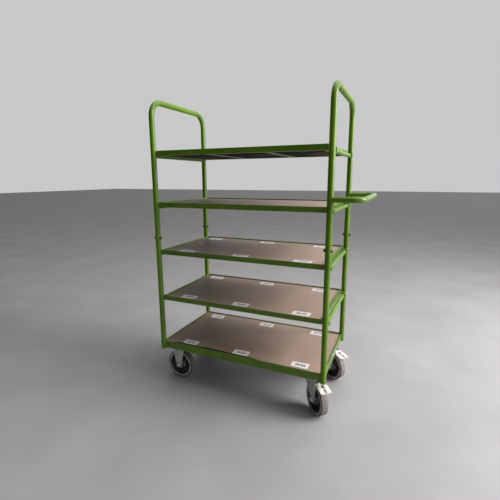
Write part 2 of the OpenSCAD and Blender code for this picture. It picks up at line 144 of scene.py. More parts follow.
def new_group(name, inputs, outputs):
    """An empty shader group with named inputs (name, default) and named outputs."""
    group = bpy.data.node_groups.new(name, "ShaderNodeTree")
    for label, kind, value in inputs:
        socket = group.interface.new_socket(label, in_out="INPUT", socket_type=kind)
        socket.default_value = value
    for label, kind in outputs:
        group.interface.new_socket(label, in_out="OUTPUT", socket_type=kind)
    return group, group.nodes.new("NodeGroupInput"), group.nodes.new("NodeGroupOutput")


def add_node(tree, kind, settings=None, **sockets):
    """A shader node with its settings, and each named socket set to a value or linked."""
    node = tree.nodes.new("ShaderNode" + kind)
    for key, value in (settings or {}).items():
        setattr(node, key, value)
    for key, value in sockets.items():
        key = key.replace("_", " ")
        socket = node.inputs[int(key[1:])] if key[1:].isdigit() else node.inputs[key]
        if isinstance(value, bpy.types.NodeSocket):
            tree.links.new(value, socket)
        else:
            socket.default_value = value
    return node


def noise(tree, at, scale, detail=3.0, stretch=(1, 1, 1)):
    """Noise over a place, stretched along its axes."""
    spread = add_node(tree, "VectorMath", {"operation": "MULTIPLY"}, i0=at, i1=stretch)
    return add_node(tree, "TexNoise", Vector=spread.outputs[0], Scale=scale, Detail=detail).outputs["Fac"]


def between(tree, value, low, high, to_low=0.0, to_high=1.0):
    """A value spread from one range to another and kept inside it."""
    spread = add_node(tree, "MapRange", None, Value=value, From_Min=low, From_Max=high,
                      To_Min=to_low, To_Max=to_high)
    return spread.outputs["Result"]


def blend_colours(tree, factor, first, second):
    return add_node(tree, "Mix", {"data_type": "RGBA"}, i0=factor, i6=first, i7=second).outputs[2]


def sums(tree, operation, first, second=0.0):
    return add_node(tree, "Math", {"operation": operation}, i0=first, i1=second).outputs[0]


def layer(tree, mask, amount, under, over):
    """One colour laid over another where a mask shows, up to an amount."""
    return blend_colours(tree, sums(tree, "MULTIPLY", mask, amount), under, over)


def wear_group():
    """Broad tone, worn edges, scuffs and settled dust for any hard finish."""
    inputs = [
        ("Edge Width", "NodeSocketFloat", 0.0015),
        ("Tone Scale", "NodeSocketFloat", 6.0),
        ("Scuff Scale", "NodeSocketFloat", 60.0),
    ]
    outputs = [("Tone", "NodeSocketFloat"), ("Edge", "NodeSocketFloat"),
               ("Scuff", "NodeSocketFloat"), ("Dust", "NodeSocketFloat")]
    group, given, result = new_group("wear_and_dust", inputs, outputs)
    spot = add_node(group, "TexCoord").outputs["Object"]
    geometry = add_node(group, "NewGeometry")
    tone = add_node(group, "TexNoise", Vector=spot, Scale=given.outputs["Tone Scale"], Detail=4.0)
    fine = add_node(group, "TexNoise", Vector=spot, Scale=given.outputs["Scuff Scale"], Detail=6.0)
    soft = add_node(group, "Bevel", {"samples": 4}, Radius=given.outputs["Edge Width"])
    bent = add_node(group, "VectorMath", {"operation": "DOT_PRODUCT"}, i0=soft.outputs[0],
                    i1=geometry.outputs["Normal"])
    corner = between(group, bent.outputs["Value"], 0.995, 0.9)
    broken = between(group, fine.outputs["Fac"], 0.46, 0.62)
    edge = sums(group, "MULTIPLY", corner, broken)
    scuff = between(group, noise(group, spot, 22.0, 8.0, (1.0, 0.22, 1.0)), 0.6, 0.78)
    facing = add_node(group, "SeparateXYZ", Vector=geometry.outputs["Normal"])
    level = between(group, facing.outputs["Z"], 0.25, 1.0)
    dust = sums(group, "MULTIPLY", level, between(group, tone.outputs["Fac"], 0.35, 0.7))
    for label, value in (("Tone", tone.outputs["Fac"]), ("Edge", edge), ("Scuff", scuff), ("Dust", dust)):
        group.links.new(value, result.inputs[label])
    return group


WEAR = wear_group()


def new_finish(name, edge_width=0.0015, tone_scale=6.0, scuff_scale=60.0):
    """A material with its shader and the wear group, ready to be joined up."""
    finish = bpy.data.materials.new(name)
    finish.use_nodes = True
    tree = finish.node_tree
    shader = tree.nodes["Principled BSDF"]
    wear = tree.nodes.new("ShaderNodeGroup")
    wear.node_tree = WEAR
    wear.inputs["Edge Width"].default_value = edge_width
    wear.inputs["Tone Scale"].default_value = tone_scale
    wear.inputs["Scuff Scale"].default_value = scuff_scale
    return finish, tree, shader, wear.outputs


def relief(tree, shader, height, distance, strength):
    """Small bumps: how far they stand out, and how strongly they show."""
    bump = add_node(tree, "Bump", None, Height=height, Distance=distance, Strength=strength)
    tree.links.new(bump.outputs["Normal"], shader.inputs["Normal"])


def green_coat(name, chips):
    """Glossy powder coat: slight orange peel, a little dust, and steel showing at knocked edges."""
    finish, tree, shader, wear = new_finish(name)
    deep = (0.076, 0.166, 0.003, 1)
    fresh = (0.122, 0.246, 0.007, 1)
    steel = (0.2, 0.185, 0.16, 1)
    dusty = (0.3, 0.36, 0.16, 1)
    colour = blend_colours(tree, between(tree, wear["Tone"], 0.3, 0.7), deep, fresh)
    colour = layer(tree, wear["Dust"], 0.09, colour, dusty)
    colour = layer(tree, wear["Scuff"], 0.1, colour, dusty)
    colour = layer(tree, wear["Edge"], chips, colour, steel)
    tree.links.new(colour, shader.inputs["Base Color"])
    rough = sums(tree, "ADD", between(tree, wear["Tone"], 0.3, 0.7, 0.3, 0.4),
                 sums(tree, "MULTIPLY", wear["Scuff"], 0.25))
    tree.links.new(rough, shader.inputs["Roughness"])
    shader.inputs["Specular IOR Level"].default_value = 0.26
    shader.inputs["Coat Weight"].default_value = 0.22
    shader.inputs["Coat Roughness"].default_value = 0.12
    spot = add_node(tree, "TexCoord").outputs["Object"]
    relief(tree, shader, noise(tree, spot, 420.0, 2.0), 0.0002, 0.35)
    return finish


TUBE_COAT = green_coat("green_tube_coat", 0.5)


def hoop_path(node):
    """Up the front upright, over the top bar and down the rear upright."""
    low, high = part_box(node)
    radius = (high.x - low.x) / 2
    middle = (low + high) / 2
    front, rear, top = low.y + radius, high.y - radius, high.z - radius
    bend, height = HOOP_BEND, top - HOOP_BEND
    path = [Vector((middle.x, front, low.z)), Vector((middle.x, front, (low.z + height) / 2))]
    path += arc(Vector((middle.x, front + bend, height)), -DEEP * bend, UP * bend, steps=14)
    path += arc(Vector((middle.x, rear - bend, height)), UP * bend, DEEP * bend, steps=14)
    path += [Vector((middle.x, rear, (low.z + height) / 2)), Vector((middle.x, rear, low.z))]
    return path, radius


for end in ("left", "right"):
    path, upright_r = hoop_path(end + "_hoop")
    make_piece(end + "_bent_frame", [tube(path, upright_r, ACROSS)], TUBE_COAT, "trolley",
               [end + "_hoop"])

hoop_low, hoop_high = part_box("right_hoop")
upright_x = (hoop_low.x + hoop_high.x) / 2
upright_y = hoop_high.y - upright_r

# ==== Foot plugs ====
# Black moulded plugs pressed into the open feet of the uprights. Each has a flat rim and three
# barbs round its stem, which grip the inside of the tube.


def turned(profile, sides=40):
    """A ring or disc turned about Z from a closed outline of (radius, height) points."""
    rings = []
    for i in range(sides):
        t = math.tau * i / sides
        rings.append([Vector((r * math.cos(t), r * math.sin(t), z)) for r, z in profile])
    return loft(rings, joined=True)


def moved(part, *steps):
    """A part carried through one placing after another."""
    points, faces = part
    place = Matrix.Identity(4)
    for step in steps:
        place = place @ step
    return [place @ point for point in points], faces


def moulded_plastic(name, dark, light, dust_colour, rough):
    """Moulded plastic or rubber with a fine grain and grey dust in it."""
    finish, tree, shader, wear = new_finish(name, scuff_scale=140.0)
    colour = blend_colours(tree, between(tree, wear["Tone"], 0.35, 0.65), dark, light)
    for mark, amount in (("Scuff", 0.4), ("Dust", 0.5), ("Edge", 0.5)):
        colour = layer(tree, wear[mark], amount, colour, dust_colour)
    tree.links.new(colour, shader.inputs["Base Color"])
    tree.links.new(between(tree, wear["Scuff"], 0.0, 1.0, rough, rough + 0.2), shader.inputs["Roughness"])
    spot = add_node(tree, "TexCoord").outputs["Object"]
    relief(tree, shader, noise(tree, spot, 700.0, 2.0), 0.0002, 0.4)
    return finish


PLUG_PLASTIC = moulded_plastic("plug_moulding", (0.012, 0.012, 0.012, 1), (0.024, 0.024, 0.023, 1),
                               (0.16, 0.15, 0.14, 1), 0.45)
bore = upright_r - TUBE_WALL
stem = [(0.0, 0.0), (bore - 0.001, 0.0), (bore, 0.001), (bore, 0.003)]
for barb in range(3):
    stem += [(bore - 0.0012, 0.0035 + 0.0028 * barb), (bore - 0.0001, 0.0055 + 0.0028 * barb)]
stem += [(bore - 0.002, 0.012), (0.0, 0.012)]
plug_low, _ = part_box("foot_plugs")
plugs = [
    moved(turned(stem, 24), Matrix.Translation((x, y, plug_low.z)))
    for x in (-upright_x, upright_x) for y in (-upright_y, upright_y)
]
make_piece("upright_foot_plugs", plugs, PLUG_PLASTIC, "trolley", ["foot_plugs"])

# ==== Cross bars ====
# Four thinner tubes join each pair of uprights, one under each lift-out shelf. Their ends are
# cut to a saddle that fits round the upright, and welded all the way round.

BEAD, BEAD_PITCH = 0.0017, 0.0014
SADDLE_POINTS = 40
SHELVES = ("shelf_1", "shelf_2", "shelf_3", "shelf_4")
shelf_tops = [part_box(shelf + "_long_rails")[1].z for shelf in SHELVES]
bar_low, bar_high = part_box("left_cross_bars")
cross_bar_r = (bar_high.x - bar_low.x) / 2
bar_drop = shelf_tops[-1] - (bar_high.z - cross_bar_r)


def saddle(foot, way, radius):
    """The line on which a level tube meets an upright: foot is a point on the upright's axis."""
    side = UP.cross(way)
    line = []
    for i in range(SADDLE_POINTS):
        t = math.tau * i / SADDLE_POINTS
        off = radius * math.cos(t)
        reach = math.sqrt(upright_r ** 2 - off ** 2)
        line.append(foot + way * reach + side * off + UP * radius * math.sin(t))
    return line


def bead(line, closed=True, size=BEAD):
    """A weld bead with the ripples of the torch along it."""
    ripples = [0.86 + 0.14 * abs(math.sin(i * 1.9)) for i in range(len(line))]
    outlines = [round_outline(size * ripple, 8) for ripple in ripples]
    up = Vector((0.31, 0.23, 0.92))
    return loft(along(line, outlines, up, closed), joined=closed)


def bead_between(start, end, size=BEAD):
    """A straight weld bead."""
    count = max(4, int((end - start).length / BEAD_PITCH))
    return bead([start.lerp(end, i / count) for i in range(count + 1)], closed=False, size=size)


for end, x in (("left", -upright_x), ("right", upright_x)):
    parts = []
    for top in shelf_tops:
        front = saddle(Vector((x, -upright_y, top - bar_drop)), DEEP, cross_bar_r)
        rear = saddle(Vector((x, upright_y, top - bar_drop)), -DEEP, cross_bar_r)
        facing = [rear[(SADDLE_POINTS // 2 - j) % SADDLE_POINTS] for j in range(SADDLE_POINTS)]
        parts += [loft([front, facing], capped=False), bead(front), bead(rear)]
    make_piece(end + "_welded_cross_bars", parts, TUBE_COAT, "trolley",
               [end + "_cross_bars"])

# ==== Push handle ====
# One tube bent into a wide U and welded by its two ends to the right uprights at hip height.

HANDLE_BEND = 0.048
handle_low, handle_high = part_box("push_handle")
handle_r = (handle_high.z - handle_low.z) / 2
handle_z = (handle_high.z + handle_low.z) / 2
grip_x = handle_high.x - handle_r
corner_x = grip_x - HANDLE_BEND
corner_y = upright_y - HANDLE_BEND
outward, sideways = ACROSS * HANDLE_BEND, DEEP * HANDLE_BEND
front_corner = arc(Vector((corner_x, -corner_y, handle_z)), -sideways, outward, 12)
rear_corner = arc(Vector((corner_x, corner_y, handle_z)), outward, sideways, 12)
front_foot = Vector((upright_x, -upright_y, handle_z))
rear_foot = Vector((upright_x, upright_y, handle_z))
handle_path = [front_foot + ACROSS * 0.004, *front_corner, *rear_corner, rear_foot + ACROSS * 0.004]
handle_tube = loft(along(handle_path, round_outline(handle_r, 40), UP), capped=False)
handle_beads = [bead(saddle(foot, ACROSS, handle_r)) for foot in (front_foot, rear_foot)]
make_piece("bent_push_handle", [handle_tube, *handle_beads], TUBE_COAT, "trolley",
           ["push_handle"])

# ==== Base frame ====
# Four lengths of rolled angle steel, standing leg outwards, welded between the feet of the
# uprights. Three flat tubes across it carry the deck board, and a plate in each corner takes a
# castor.

rail_low, rail_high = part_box("base_long_rails")
_, end_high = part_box("base_end_rails")
base_leg = rail_high.z - rail_low.z
BASE_STEEL = 0.004
BASE_COAT = green_coat("green_base_coat", 0.85)


def opened(finish):
    """A finish taken up again for another layer: its tree, shader, colour so far and place."""
    tree = finish.node_tree
    shader = tree.nodes["Principled BSDF"]
    colour = shader.inputs["Base Color"].links[0].from_socket
    return tree, shader, colour, add_node(tree, "TexCoord").outputs["Object"]


def paint_shade_inside_angle(finish):
    """Near-black painted shade down inside the angles, below the level of the board."""
    tree, shader, coat, spot = opened(finish)
    normal = add_node(tree, "TexCoord").outputs["Normal"]
    height = add_node(tree, "SeparateXYZ", Vector=spot).outputs["Z"]
    deep = between(tree, height, rail_high.z - 0.002, rail_high.z - 0.007)
    level = add_node(tree, "VectorMath", {"operation": "MULTIPLY"}, i0=spot, i1=(1, 1, 0))
    outward = add_node(tree, "VectorMath", {"operation": "DOT_PRODUCT"}, i0=level.outputs[0], i1=normal)
    inward = between(tree, outward.outputs["Value"], -0.02, -0.12)
    upward = between(tree, add_node(tree, "SeparateXYZ", Vector=normal).outputs["Z"], 0.5, 0.9)
    # Painted shade: faces turned inwards or upwards below the board go near black, standing in for the shade
    # in the gap under the board.
    inside = sums(tree, "MULTIPLY", sums(tree, "MAXIMUM", inward, upward), deep)
    colour = layer(tree, inside, 0.92, coat, (0.012, 0.013, 0.006, 1))
    tree.links.new(colour, shader.inputs["Base Color"])


def angle_outline(leg, thickness):
    """Rolled angle: square heel, round toes and a filleted root, heel at the origin."""
    toe, root = thickness * 0.6, thickness
    outline = [Vector((0, 0)), Vector((leg, 0))]
    outline += arc(Vector((leg - toe, thickness - toe)), Vector((toe, 0)), Vector((0, toe)), steps=4)
    fillet_at = Vector((thickness + root, thickness + root))
    outline += arc(fillet_at, Vector((0, -root)), Vector((-root, 0)), steps=5)
    outline += arc(Vector((thickness - toe, leg - toe)), Vector((toe, 0)), Vector((0, toe)), steps=4)
    outline += [Vector((0, leg))]
    return outline


def angle_bar(start, end, inward, leg, thickness):
    """An angle bar from one heel end to the other, flat leg inwards and the other leg up."""
    outline = angle_outline(leg, thickness)
    return loft([[heel + inward * p.x + UP * p.y for p in outline] for heel in (start, end)])


paint_shade_inside_angle(BASE_COAT)
long_rails, end_rails = [], []
for side in (-1, 1):
    heel = Vector((0, side * rail_high.y, rail_low.z))
    reach = ACROSS * rail_high.x
    long_rails.append(angle_bar(heel - reach, heel + reach, -DEEP * side, base_leg, BASE_STEEL))
    for x in (-1, 1):
        joint = heel + ACROSS * x * (upright_x - upright_r - BEAD * 0.3)
        long_rails.append(bead_between(joint + UP * 0.001, joint + UP * (base_leg - 0.001)))
        inner = joint - DEEP * side * (BASE_STEEL + 0.001)
        long_rails.append(bead_between(inner + UP * BASE_STEEL, inner + UP * base_leg))
    heel = Vector((side * end_high.x, 0, rail_low.z))
    reach = DEEP * end_high.y
    end_rails.append(angle_bar(heel - reach, heel + reach, -ACROSS * side, base_leg, BASE_STEEL))
    for y in (-1, 1):
        joint = heel + DEEP * y * (upright_y - upright_r - BEAD * 0.3)
        end_rails.append(bead_between(joint + UP * 0.001, joint + UP * (base_leg - 0.001)))
        mitre = Vector((side * (upright_x - base_leg), y * (upright_y - base_leg), rail_low.z))
        corner = mitre + Vector((side * 0.02, 0, 0))
        end_rails.append(bead_between(mitre, corner, size=0.0012))
make_piece("base_side_angles", long_rails, BASE_COAT, "trolley", ["base_long_rails"],
           edge=0.0004)
make_piece("base_end_angles", end_rails, BASE_COAT, "trolley", ["base_end_rails"],
           edge=0.0004)


def rounded_box(low, high, corner):
    """A bar with a rounded rectangular outline, running from front to rear."""
    rings = []
    for y in (low.y, high.y):
        ring = []
        for quarter, (u, v) in enumerate(((1, 1), (0, 1), (0, 0), (1, 0))):
            x = high.x - corner if u else low.x + corner
            z = high.z - corner if v else low.z + corner
            for i in range(5):
                t = math.radians(90 * (quarter + i / 4))
                ring.append(Vector((x + corner * math.cos(t), y, z + corner * math.sin(t))))
        rings.append(ring)
    return loft(rings)


BRACE_WIDTH = 0.03
brace_low, brace_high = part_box("base_braces")
brace_pitch = (brace_high.x - brace_low.x - BRACE_WIDTH) / 2
base_braces = []
for i in (-1, 0, 1):
    low = Vector((i * brace_pitch - BRACE_WIDTH / 2, brace_low.y, brace_low.z))
    high = Vector((i * brace_pitch + BRACE_WIDTH / 2, brace_high.y, brace_high.z))
    base_braces.append(rounded_box(low, high, 0.0025))
    for side in (-1, 1):
        toe = Vector((0, side * (brace_high.y - base_leg + BASE_STEEL), brace_low.z))
        base_braces.append(bead_between(toe + ACROSS * low.x, toe + ACROSS * high.x, size=0.0012))
make_piece("deck_cross_tubes", base_braces, BASE_COAT, "trolley", ["base_braces"],
           edge=0.0003)


def flat_plate(outlines, thickness, edge, top, curve_steps=2):
    """A flat plate cut to its first outline, with the others as holes, and rounded edges."""
    curve = bpy.data.curves.new("plate_outline", "CURVE")
    curve.dimensions = "2D"
    curve.fill_mode = "BOTH"
    curve.extrude = thickness / 2 - edge
    curve.bevel_depth = edge
    curve.bevel_resolution = curve_steps
    curve.offset = -edge
    for outline in outlines:
        spline = curve.splines.new("POLY")
        spline.points.add(len(outline) - 1)
        spline.use_cyclic_u = True
        for point, (x, y) in zip(spline.points, outline):
            point.co = (x, y, 0, 1)
    holder = bpy.data.objects.new("plate_outline", curve)
    mesh = bpy.data.meshes.new_from_object(holder)
    build = bmesh.new()
    build.from_mesh(mesh)
    bmesh.ops.remove_doubles(build, verts=build.verts, dist=1e-6)
    build.to_mesh(mesh)
    build.free()
    shift = Vector((0, 0, top - thickness / 2))
    points = [v.co + shift for v in mesh.vertices]
    faces = [tuple(face.vertices) for face in mesh.polygons]
    bpy.data.objects.remove(holder)
    bpy.data.meshes.remove(mesh)
    bpy.data.curves.remove(curve)
    return points, faces


def rounded_outline(x, y, corner, steps=6):
    """A rectangle with round corners, centred on the origin."""
    outline = []
    for quarter, (u, v) in enumerate(((1, 1), (-1, 1), (-1, -1), (1, -1))):
        for i in range(steps + 1):
            t = math.radians(90 * (quarter + i / steps))
            outline.append((u * (x / 2 - corner) + corner * math.cos(t),
                            v * (y / 2 - corner) + corner * math.sin(t)))
    return outline


SEAT_LENGTH, SEAT_WIDTH = 0.0945, 0.1175
seat_low, seat_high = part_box("castor_seats")
seat_t = seat_high.z - seat_low.z
seats = []
for x in (-1, 1):
    for y in (-1, 1):
        middle = Vector((x * (seat_high.x - SEAT_LENGTH / 2), y * (seat_high.y - SEAT_WIDTH / 2), 0))
        outline = rounded_outline(SEAT_LENGTH, SEAT_WIDTH, 0.004)
        seat = flat_plate([outline], seat_t, 0.0005, seat_high.z)
        seats.append(moved(seat, Matrix.Translation(middle)))
        inner = middle - Vector((x * SEAT_LENGTH / 2, 0, -seat_high.z + 0.0004))
        seats.append(bead_between(inner + DEEP * 0.045, inner - DEEP * 0.045, size=0.0014))
make_piece("corner_seat_plates", seats, BASE_COAT, "trolley", ["castor_seats"])

# ==== Deck boards ====
# Sheets of birch plywood faced with a smooth brown-grey film and cut to drop inside the angle
# frames. The base board is notched round the uprights and has lost a little along its front edge.

NOTCH = upright_r + 0.0015
WORN_EDGE_MM = (0, 9, 19, 22, 23, 22, 19, 17, 18, 21, 22, 21, 21, 20, 19, 18, 18, 17, 16, 16, 15, 12, 5, 0)
WORN_STEPS = 36
PLIES_PER_METRE = 480.0
deck_low, deck_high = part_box("base_panel")


def board_finish():
    """Brown film with cloudy handling marks, an underside painted near black in blotches as painted shade,
    and bare plies along the edges, darkened as painted shade.
    """
    finish, tree, shader, wear = new_finish("film_faced_board", 0.001, 3.2, 40.0)
    spot = add_node(tree, "TexCoord").outputs["Object"]
    film_dark, film_light = (0.275, 0.19, 0.146, 1), (0.365, 0.258, 0.202, 1)
    colour = blend_colours(tree, between(tree, wear["Tone"], 0.3, 0.72), film_dark, film_light)
    fibre = between(tree, noise(tree, spot, 30.0, 5.0, (0.35, 3.0, 1.0)), 0.35, 0.7)
    colour = layer(tree, fibre, 0.25, colour, (0.385, 0.29, 0.235, 1))
    rosy = between(tree, noise(tree, spot, 4.5, 2.0), 0.5, 0.75)
    colour = layer(tree, rosy, 0.3, colour, (0.375, 0.245, 0.2, 1))
    colour = layer(tree, wear["Scuff"], 0.3, colour, (0.42, 0.36, 0.3, 1))
    height = add_node(tree, "SeparateXYZ", Vector=spot).outputs["Z"]
    ply = sums(tree, "FRACT", sums(tree, "MULTIPLY", height, PLIES_PER_METRE))
    # Painted shade: the ply colours of the cut edges are kept very dark, standing in for the shade in the
    # worn hollow at the front.
    cut = blend_colours(tree, between(tree, ply, 0.42, 0.58), (0.075, 0.05, 0.03, 1), (0.03, 0.02, 0.012, 1))
    normal = add_node(tree, "TexCoord").outputs["Normal"]
    upward = add_node(tree, "SeparateXYZ", Vector=normal).outputs["Z"]
    colour = blend_colours(tree, between(tree, sums(tree, "ABSOLUTE", upward), 0.7, 0.3), colour, cut)
    # Painted shade: the underside is painted near black in blotches, standing in for the shade under each
    # board.
    blotch = between(tree, noise(tree, spot, 7.0, 4.0), 0.5, 0.62)
    back = blend_colours(tree, blotch, (0.012, 0.013, 0.008, 1), (0.075, 0.056, 0.044, 1))
    colour = blend_colours(tree, between(tree, upward, -0.4, -0.8), colour, back)
    colour = layer(tree, wear["Edge"], 0.8, colour, (0.42, 0.31, 0.2, 1))
    tree.links.new(colour, shader.inputs["Base Color"])
    rough = sums(tree, "ADD", between(tree, wear["Tone"], 0.3, 0.7, 0.42, 0.55),
                 sums(tree, "MULTIPLY", wear["Scuff"], 0.2))
    rough = sums(tree, "MAXIMUM", rough, between(tree, upward, 0.2, -0.4))
    tree.links.new(rough, shader.inputs["Roughness"])
    shader.inputs["Specular IOR Level"].default_value = 0.22
    relief(tree, shader, noise(tree, spot, 260.0, 4.0, (0.5, 1.0, 1.0)), 0.0003, 0.35)
    return finish


BOARD = board_finish()


def notched_deck():
    """The base board's outline: a round notch at each corner and a worn hollow in front."""
    outline = []
    for quarter, (u, v) in enumerate(((1, 1), (-1, 1), (-1, -1), (1, -1))):
        upright = Vector((u * upright_x, v * upright_y))
        reach_x = math.sqrt(NOTCH ** 2 - (upright_y - deck_high.y) ** 2)
        reach_y = math.sqrt(NOTCH ** 2 - (upright_x - deck_high.x) ** 2)
        ends = [Vector((u * deck_high.x, upright.y - v * reach_y)),
                Vector((upright.x - u * reach_x, v * deck_high.y))]
        first = math.atan2(*reversed(ends[0] - upright))
        last = math.atan2(*reversed(ends[1] - upright))
        turn = (last - first + math.pi) % math.tau - math.pi
        steps = [first + turn * i / 8 for i in range(9)]
        bite = [upright + Vector((math.cos(t), math.sin(t))) * NOTCH for t in steps]
        outline += bite if quarter % 2 == 0 else bite[::-1]
        if (u, v) == (-1, -1):
            start, end = outline[-1].x, -outline[-1].x
            for i, depth in enumerate(WORN_EDGE_MM):
                x = start + (end - start) * (i + 1) / WORN_STEPS
                outline.append(Vector((x, -deck_high.y + depth / 1000)))
    return outline


deck = flat_plate([notched_deck()], deck_high.z - deck_low.z, 0.0006, deck_high.z, 1)
make_piece("base_deck_board", [deck], BOARD, "trolley", ["base_panel"])
for shelf in SHELVES:
    low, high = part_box(shelf + "_panel")
    outline = rounded_outline(high.x - low.x, high.y - low.y, 0.002, 3)
    board = flat_plate([outline], high.z - low.z, 0.0006, high.z, 1)
    make_piece(shelf + "_board", [board], BOARD, "trolley", [shelf + "_panel"])

# ==== Lift-out shelf frames ====
# Light angle steel welded into a rectangle, with two flat hooks at each end that hang over the
# cross bars. Two flat strips are welded across underneath to carry the board.

SHELF_COAT = green_coat("green_shelf_coat", 0.75)
SHELF_STEEL = 0.003
HOOK_WIDTH, HOOK_STEEL, HOOK_DROP = 0.024, 0.004, 0.02
STRIP_WIDTH = 0.03


def hook(root, way, reach, drop):
    """A flat bar that runs out from the frame and is bent down behind the cross bar."""
    turn = HOOK_STEEL + 0.003
    bend_at = root + way * (reach - turn) - UP * turn
    outside = [root] + arc(bend_at, UP * turn, way * turn, steps=6)
    outside.append(root + way * reach - UP * drop)
    inner = turn - HOOK_STEEL
    inside = arc(bend_at, UP * inner, way * inner, steps=6)
    inside = [root - UP * HOOK_STEEL] + inside + [outside[-1] - way * HOOK_STEEL]
    strip = outside + inside[::-1]
    half = DEEP * HOOK_WIDTH / 2
    return loft([[p - half for p in strip], [p + half for p in strip]])


for shelf, top in zip(SHELVES, shelf_tops):
    low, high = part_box(shelf + "_long_rails")
    _, hooks_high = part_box(shelf + "_end_rails")
    leg = high.z - low.z
    sides, ends = [], []
    for side in (-1, 1):
        heel = Vector((0, side * high.y, low.z))
        sides.append(angle_bar(heel - ACROSS * high.x, heel + ACROSS * high.x, -DEEP * side, leg,
                               SHELF_STEEL))
        heel = Vector((side * high.x, 0, low.z))
        reach = DEEP * (high.y - leg)
        ends.append(angle_bar(heel - reach, heel + reach, -ACROSS * side, leg, SHELF_STEEL))
        for y in (-1, 1):
            x_span = sorted((side * high.x, side * (high.x - SHELF_STEEL)))
            y_span = sorted((y * (high.y - leg - 0.001), y * (high.y - SHELF_STEEL)))
            ends.append(rounded_box(Vector((x_span[0], y_span[0], low.z + SHELF_STEEL)),
                                    Vector((x_span[1], y_span[1], high.z)), 0.0006))
            corner = Vector((side * high.x, y * (high.y - SHELF_STEEL), low.z))
            ends.append(bead_between(corner + UP * 0.001, corner + UP * (leg - 0.001), size=0.0013))
            middle = y * (upright_y - upright_r - HOOK_WIDTH / 2 - 0.003)
            root = Vector((side * high.x, middle, top - bar_drop + cross_bar_r + HOOK_STEEL))
            ends.append(hook(root, ACROSS * side, hooks_high.x - high.x, HOOK_DROP))
            seam = root - UP * HOOK_STEEL
            half = DEEP * HOOK_WIDTH / 2
            ends.append(bead_between(seam - half, seam + half, size=0.0013))
    make_piece(shelf + "_side_angles", sides, SHELF_COAT, "trolley",
               [shelf + "_long_rails"], edge=0.0004)
    make_piece(shelf + "_end_angles", ends, SHELF_COAT, "trolley",
               [shelf + "_end_rails"], edge=0.0003)

strips_low, strips_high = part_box("shelf_braces")
strips = []
for top in shelf_tops:
    for side in (-1, 1):
        middle = side * (strips_high.x - STRIP_WIDTH / 2)
        low = Vector((middle - STRIP_WIDTH / 2, strips_low.y, top - leg))
        high = Vector((middle + STRIP_WIDTH / 2, strips_high.y, top - leg + SHELF_STEEL))
        strips.append(rounded_box(low, high, 0.0008))
        for y in (low.y, high.y):
            ends = Vector((low.x, y, low.z)), Vector((high.x, y, low.z))
            strips.append(bead_between(*ends, size=0.0011))
make_piece("board_carrying_strips", strips, SHELF_COAT, "trolley",
           ["shelf_braces"], edge=0.0003)

# ==== Deck labels ====
# Small white self-adhesive labels along the front and rear edges of the three lowest decks.
# Each has a plain block of code bars and slightly lifted corners.

LABEL_LENGTH, LABEL_WIDTH = 0.086, 0.048


def label_finish():
    """White paper with a block of dark bars of uneven width, smudged and a little dusty."""
    finish, tree, shader, wear = new_finish("printed_label", 0.0005, 9.0, 90.0)
    place = add_node(tree, "UVMap", {"uv_map": "print"}).outputs["UV"]
    flat = add_node(tree, "SeparateXYZ", Vector=place)
    bars = between(tree, noise(tree, place, 1.0, 0.0, (34.0, 0.0, 0.0)), 0.44, 0.5)
    wide = sums(tree, "ABSOLUTE", sums(tree, "SUBTRACT", flat.outputs["X"], 0.52))
    across = between(tree, wide, 0.3, 0.285)
    tall = sums(tree, "ABSOLUTE", sums(tree, "SUBTRACT", flat.outputs["Y"], 0.5))
    block = sums(tree, "MULTIPLY", across, between(tree, tall, 0.185, 0.165))
    ink = sums(tree, "MULTIPLY", block, bars)
    rule = sums(tree, "ABSOLUTE", sums(tree, "SUBTRACT", flat.outputs["Y"], 0.77))
    rule = sums(tree, "MULTIPLY", between(tree, rule, 0.018, 0.01), across)
    paper = blend_colours(tree, wear["Tone"], (0.74, 0.69, 0.68, 1), (0.86, 0.82, 0.81, 1))
    paper = layer(tree, wear["Scuff"], 0.25, paper, (0.5, 0.45, 0.42, 1))
    colour = layer(tree, rule, 0.35, paper, (0.2, 0.18, 0.22, 1))
    colour = blend_colours(tree, ink, colour, (0.045, 0.04, 0.055, 1))
    tree.links.new(colour, shader.inputs["Base Color"])
    tree.links.new(between(tree, ink, 0.0, 1.0, 0.55, 0.42), shader.inputs["Roughness"])
    relief(tree, shader, noise(tree, place, 60.0, 3.0), 0.0001, 0.3)
    return finish


def label_sheet(middle, deck, lifted):
    """A thin sheet stuck down in the middle, with its corners lifted."""
    columns, rows = 12, 6
    sheet = []
    for level in (0.00005, 0.0003):
        for j in range(rows + 1):
            for i in range(columns + 1):
                u, v = i / columns, j / rows
                corner = abs(2 * u - 1) ** 6 * abs(2 * v - 1) ** 4
                lift = 0.0008 * corner * (1.0 if (u < 0.5) == lifted else 0.25)
                sheet.append(Vector((middle[0] + (u - 0.5) * LABEL_LENGTH,
                                     middle[1] + (v - 0.5) * LABEL_WIDTH, deck + level + lift)))
    width, layer = columns + 1, (columns + 1) * (rows + 1)
    faces = []
    for j in range(rows):
        for i in range(columns):
            a = j * width + i
            faces.append((a + layer, a + layer + 1, a + layer + width + 1, a + layer + width))
            faces.append((a + width, a + width + 1, a + 1, a))
    rim = list(range(width)) + [j * width + columns for j in range(1, rows + 1)]
    rim += [rows * width + i for i in range(columns - 1, -1, -1)]
    rim += [j * width for j in range(rows - 1, 0, -1)]
    faces += [(a, b, b + layer, a + layer) for a, b in zip(rim, rim[1:] + rim[:1])]
    return sheet, faces


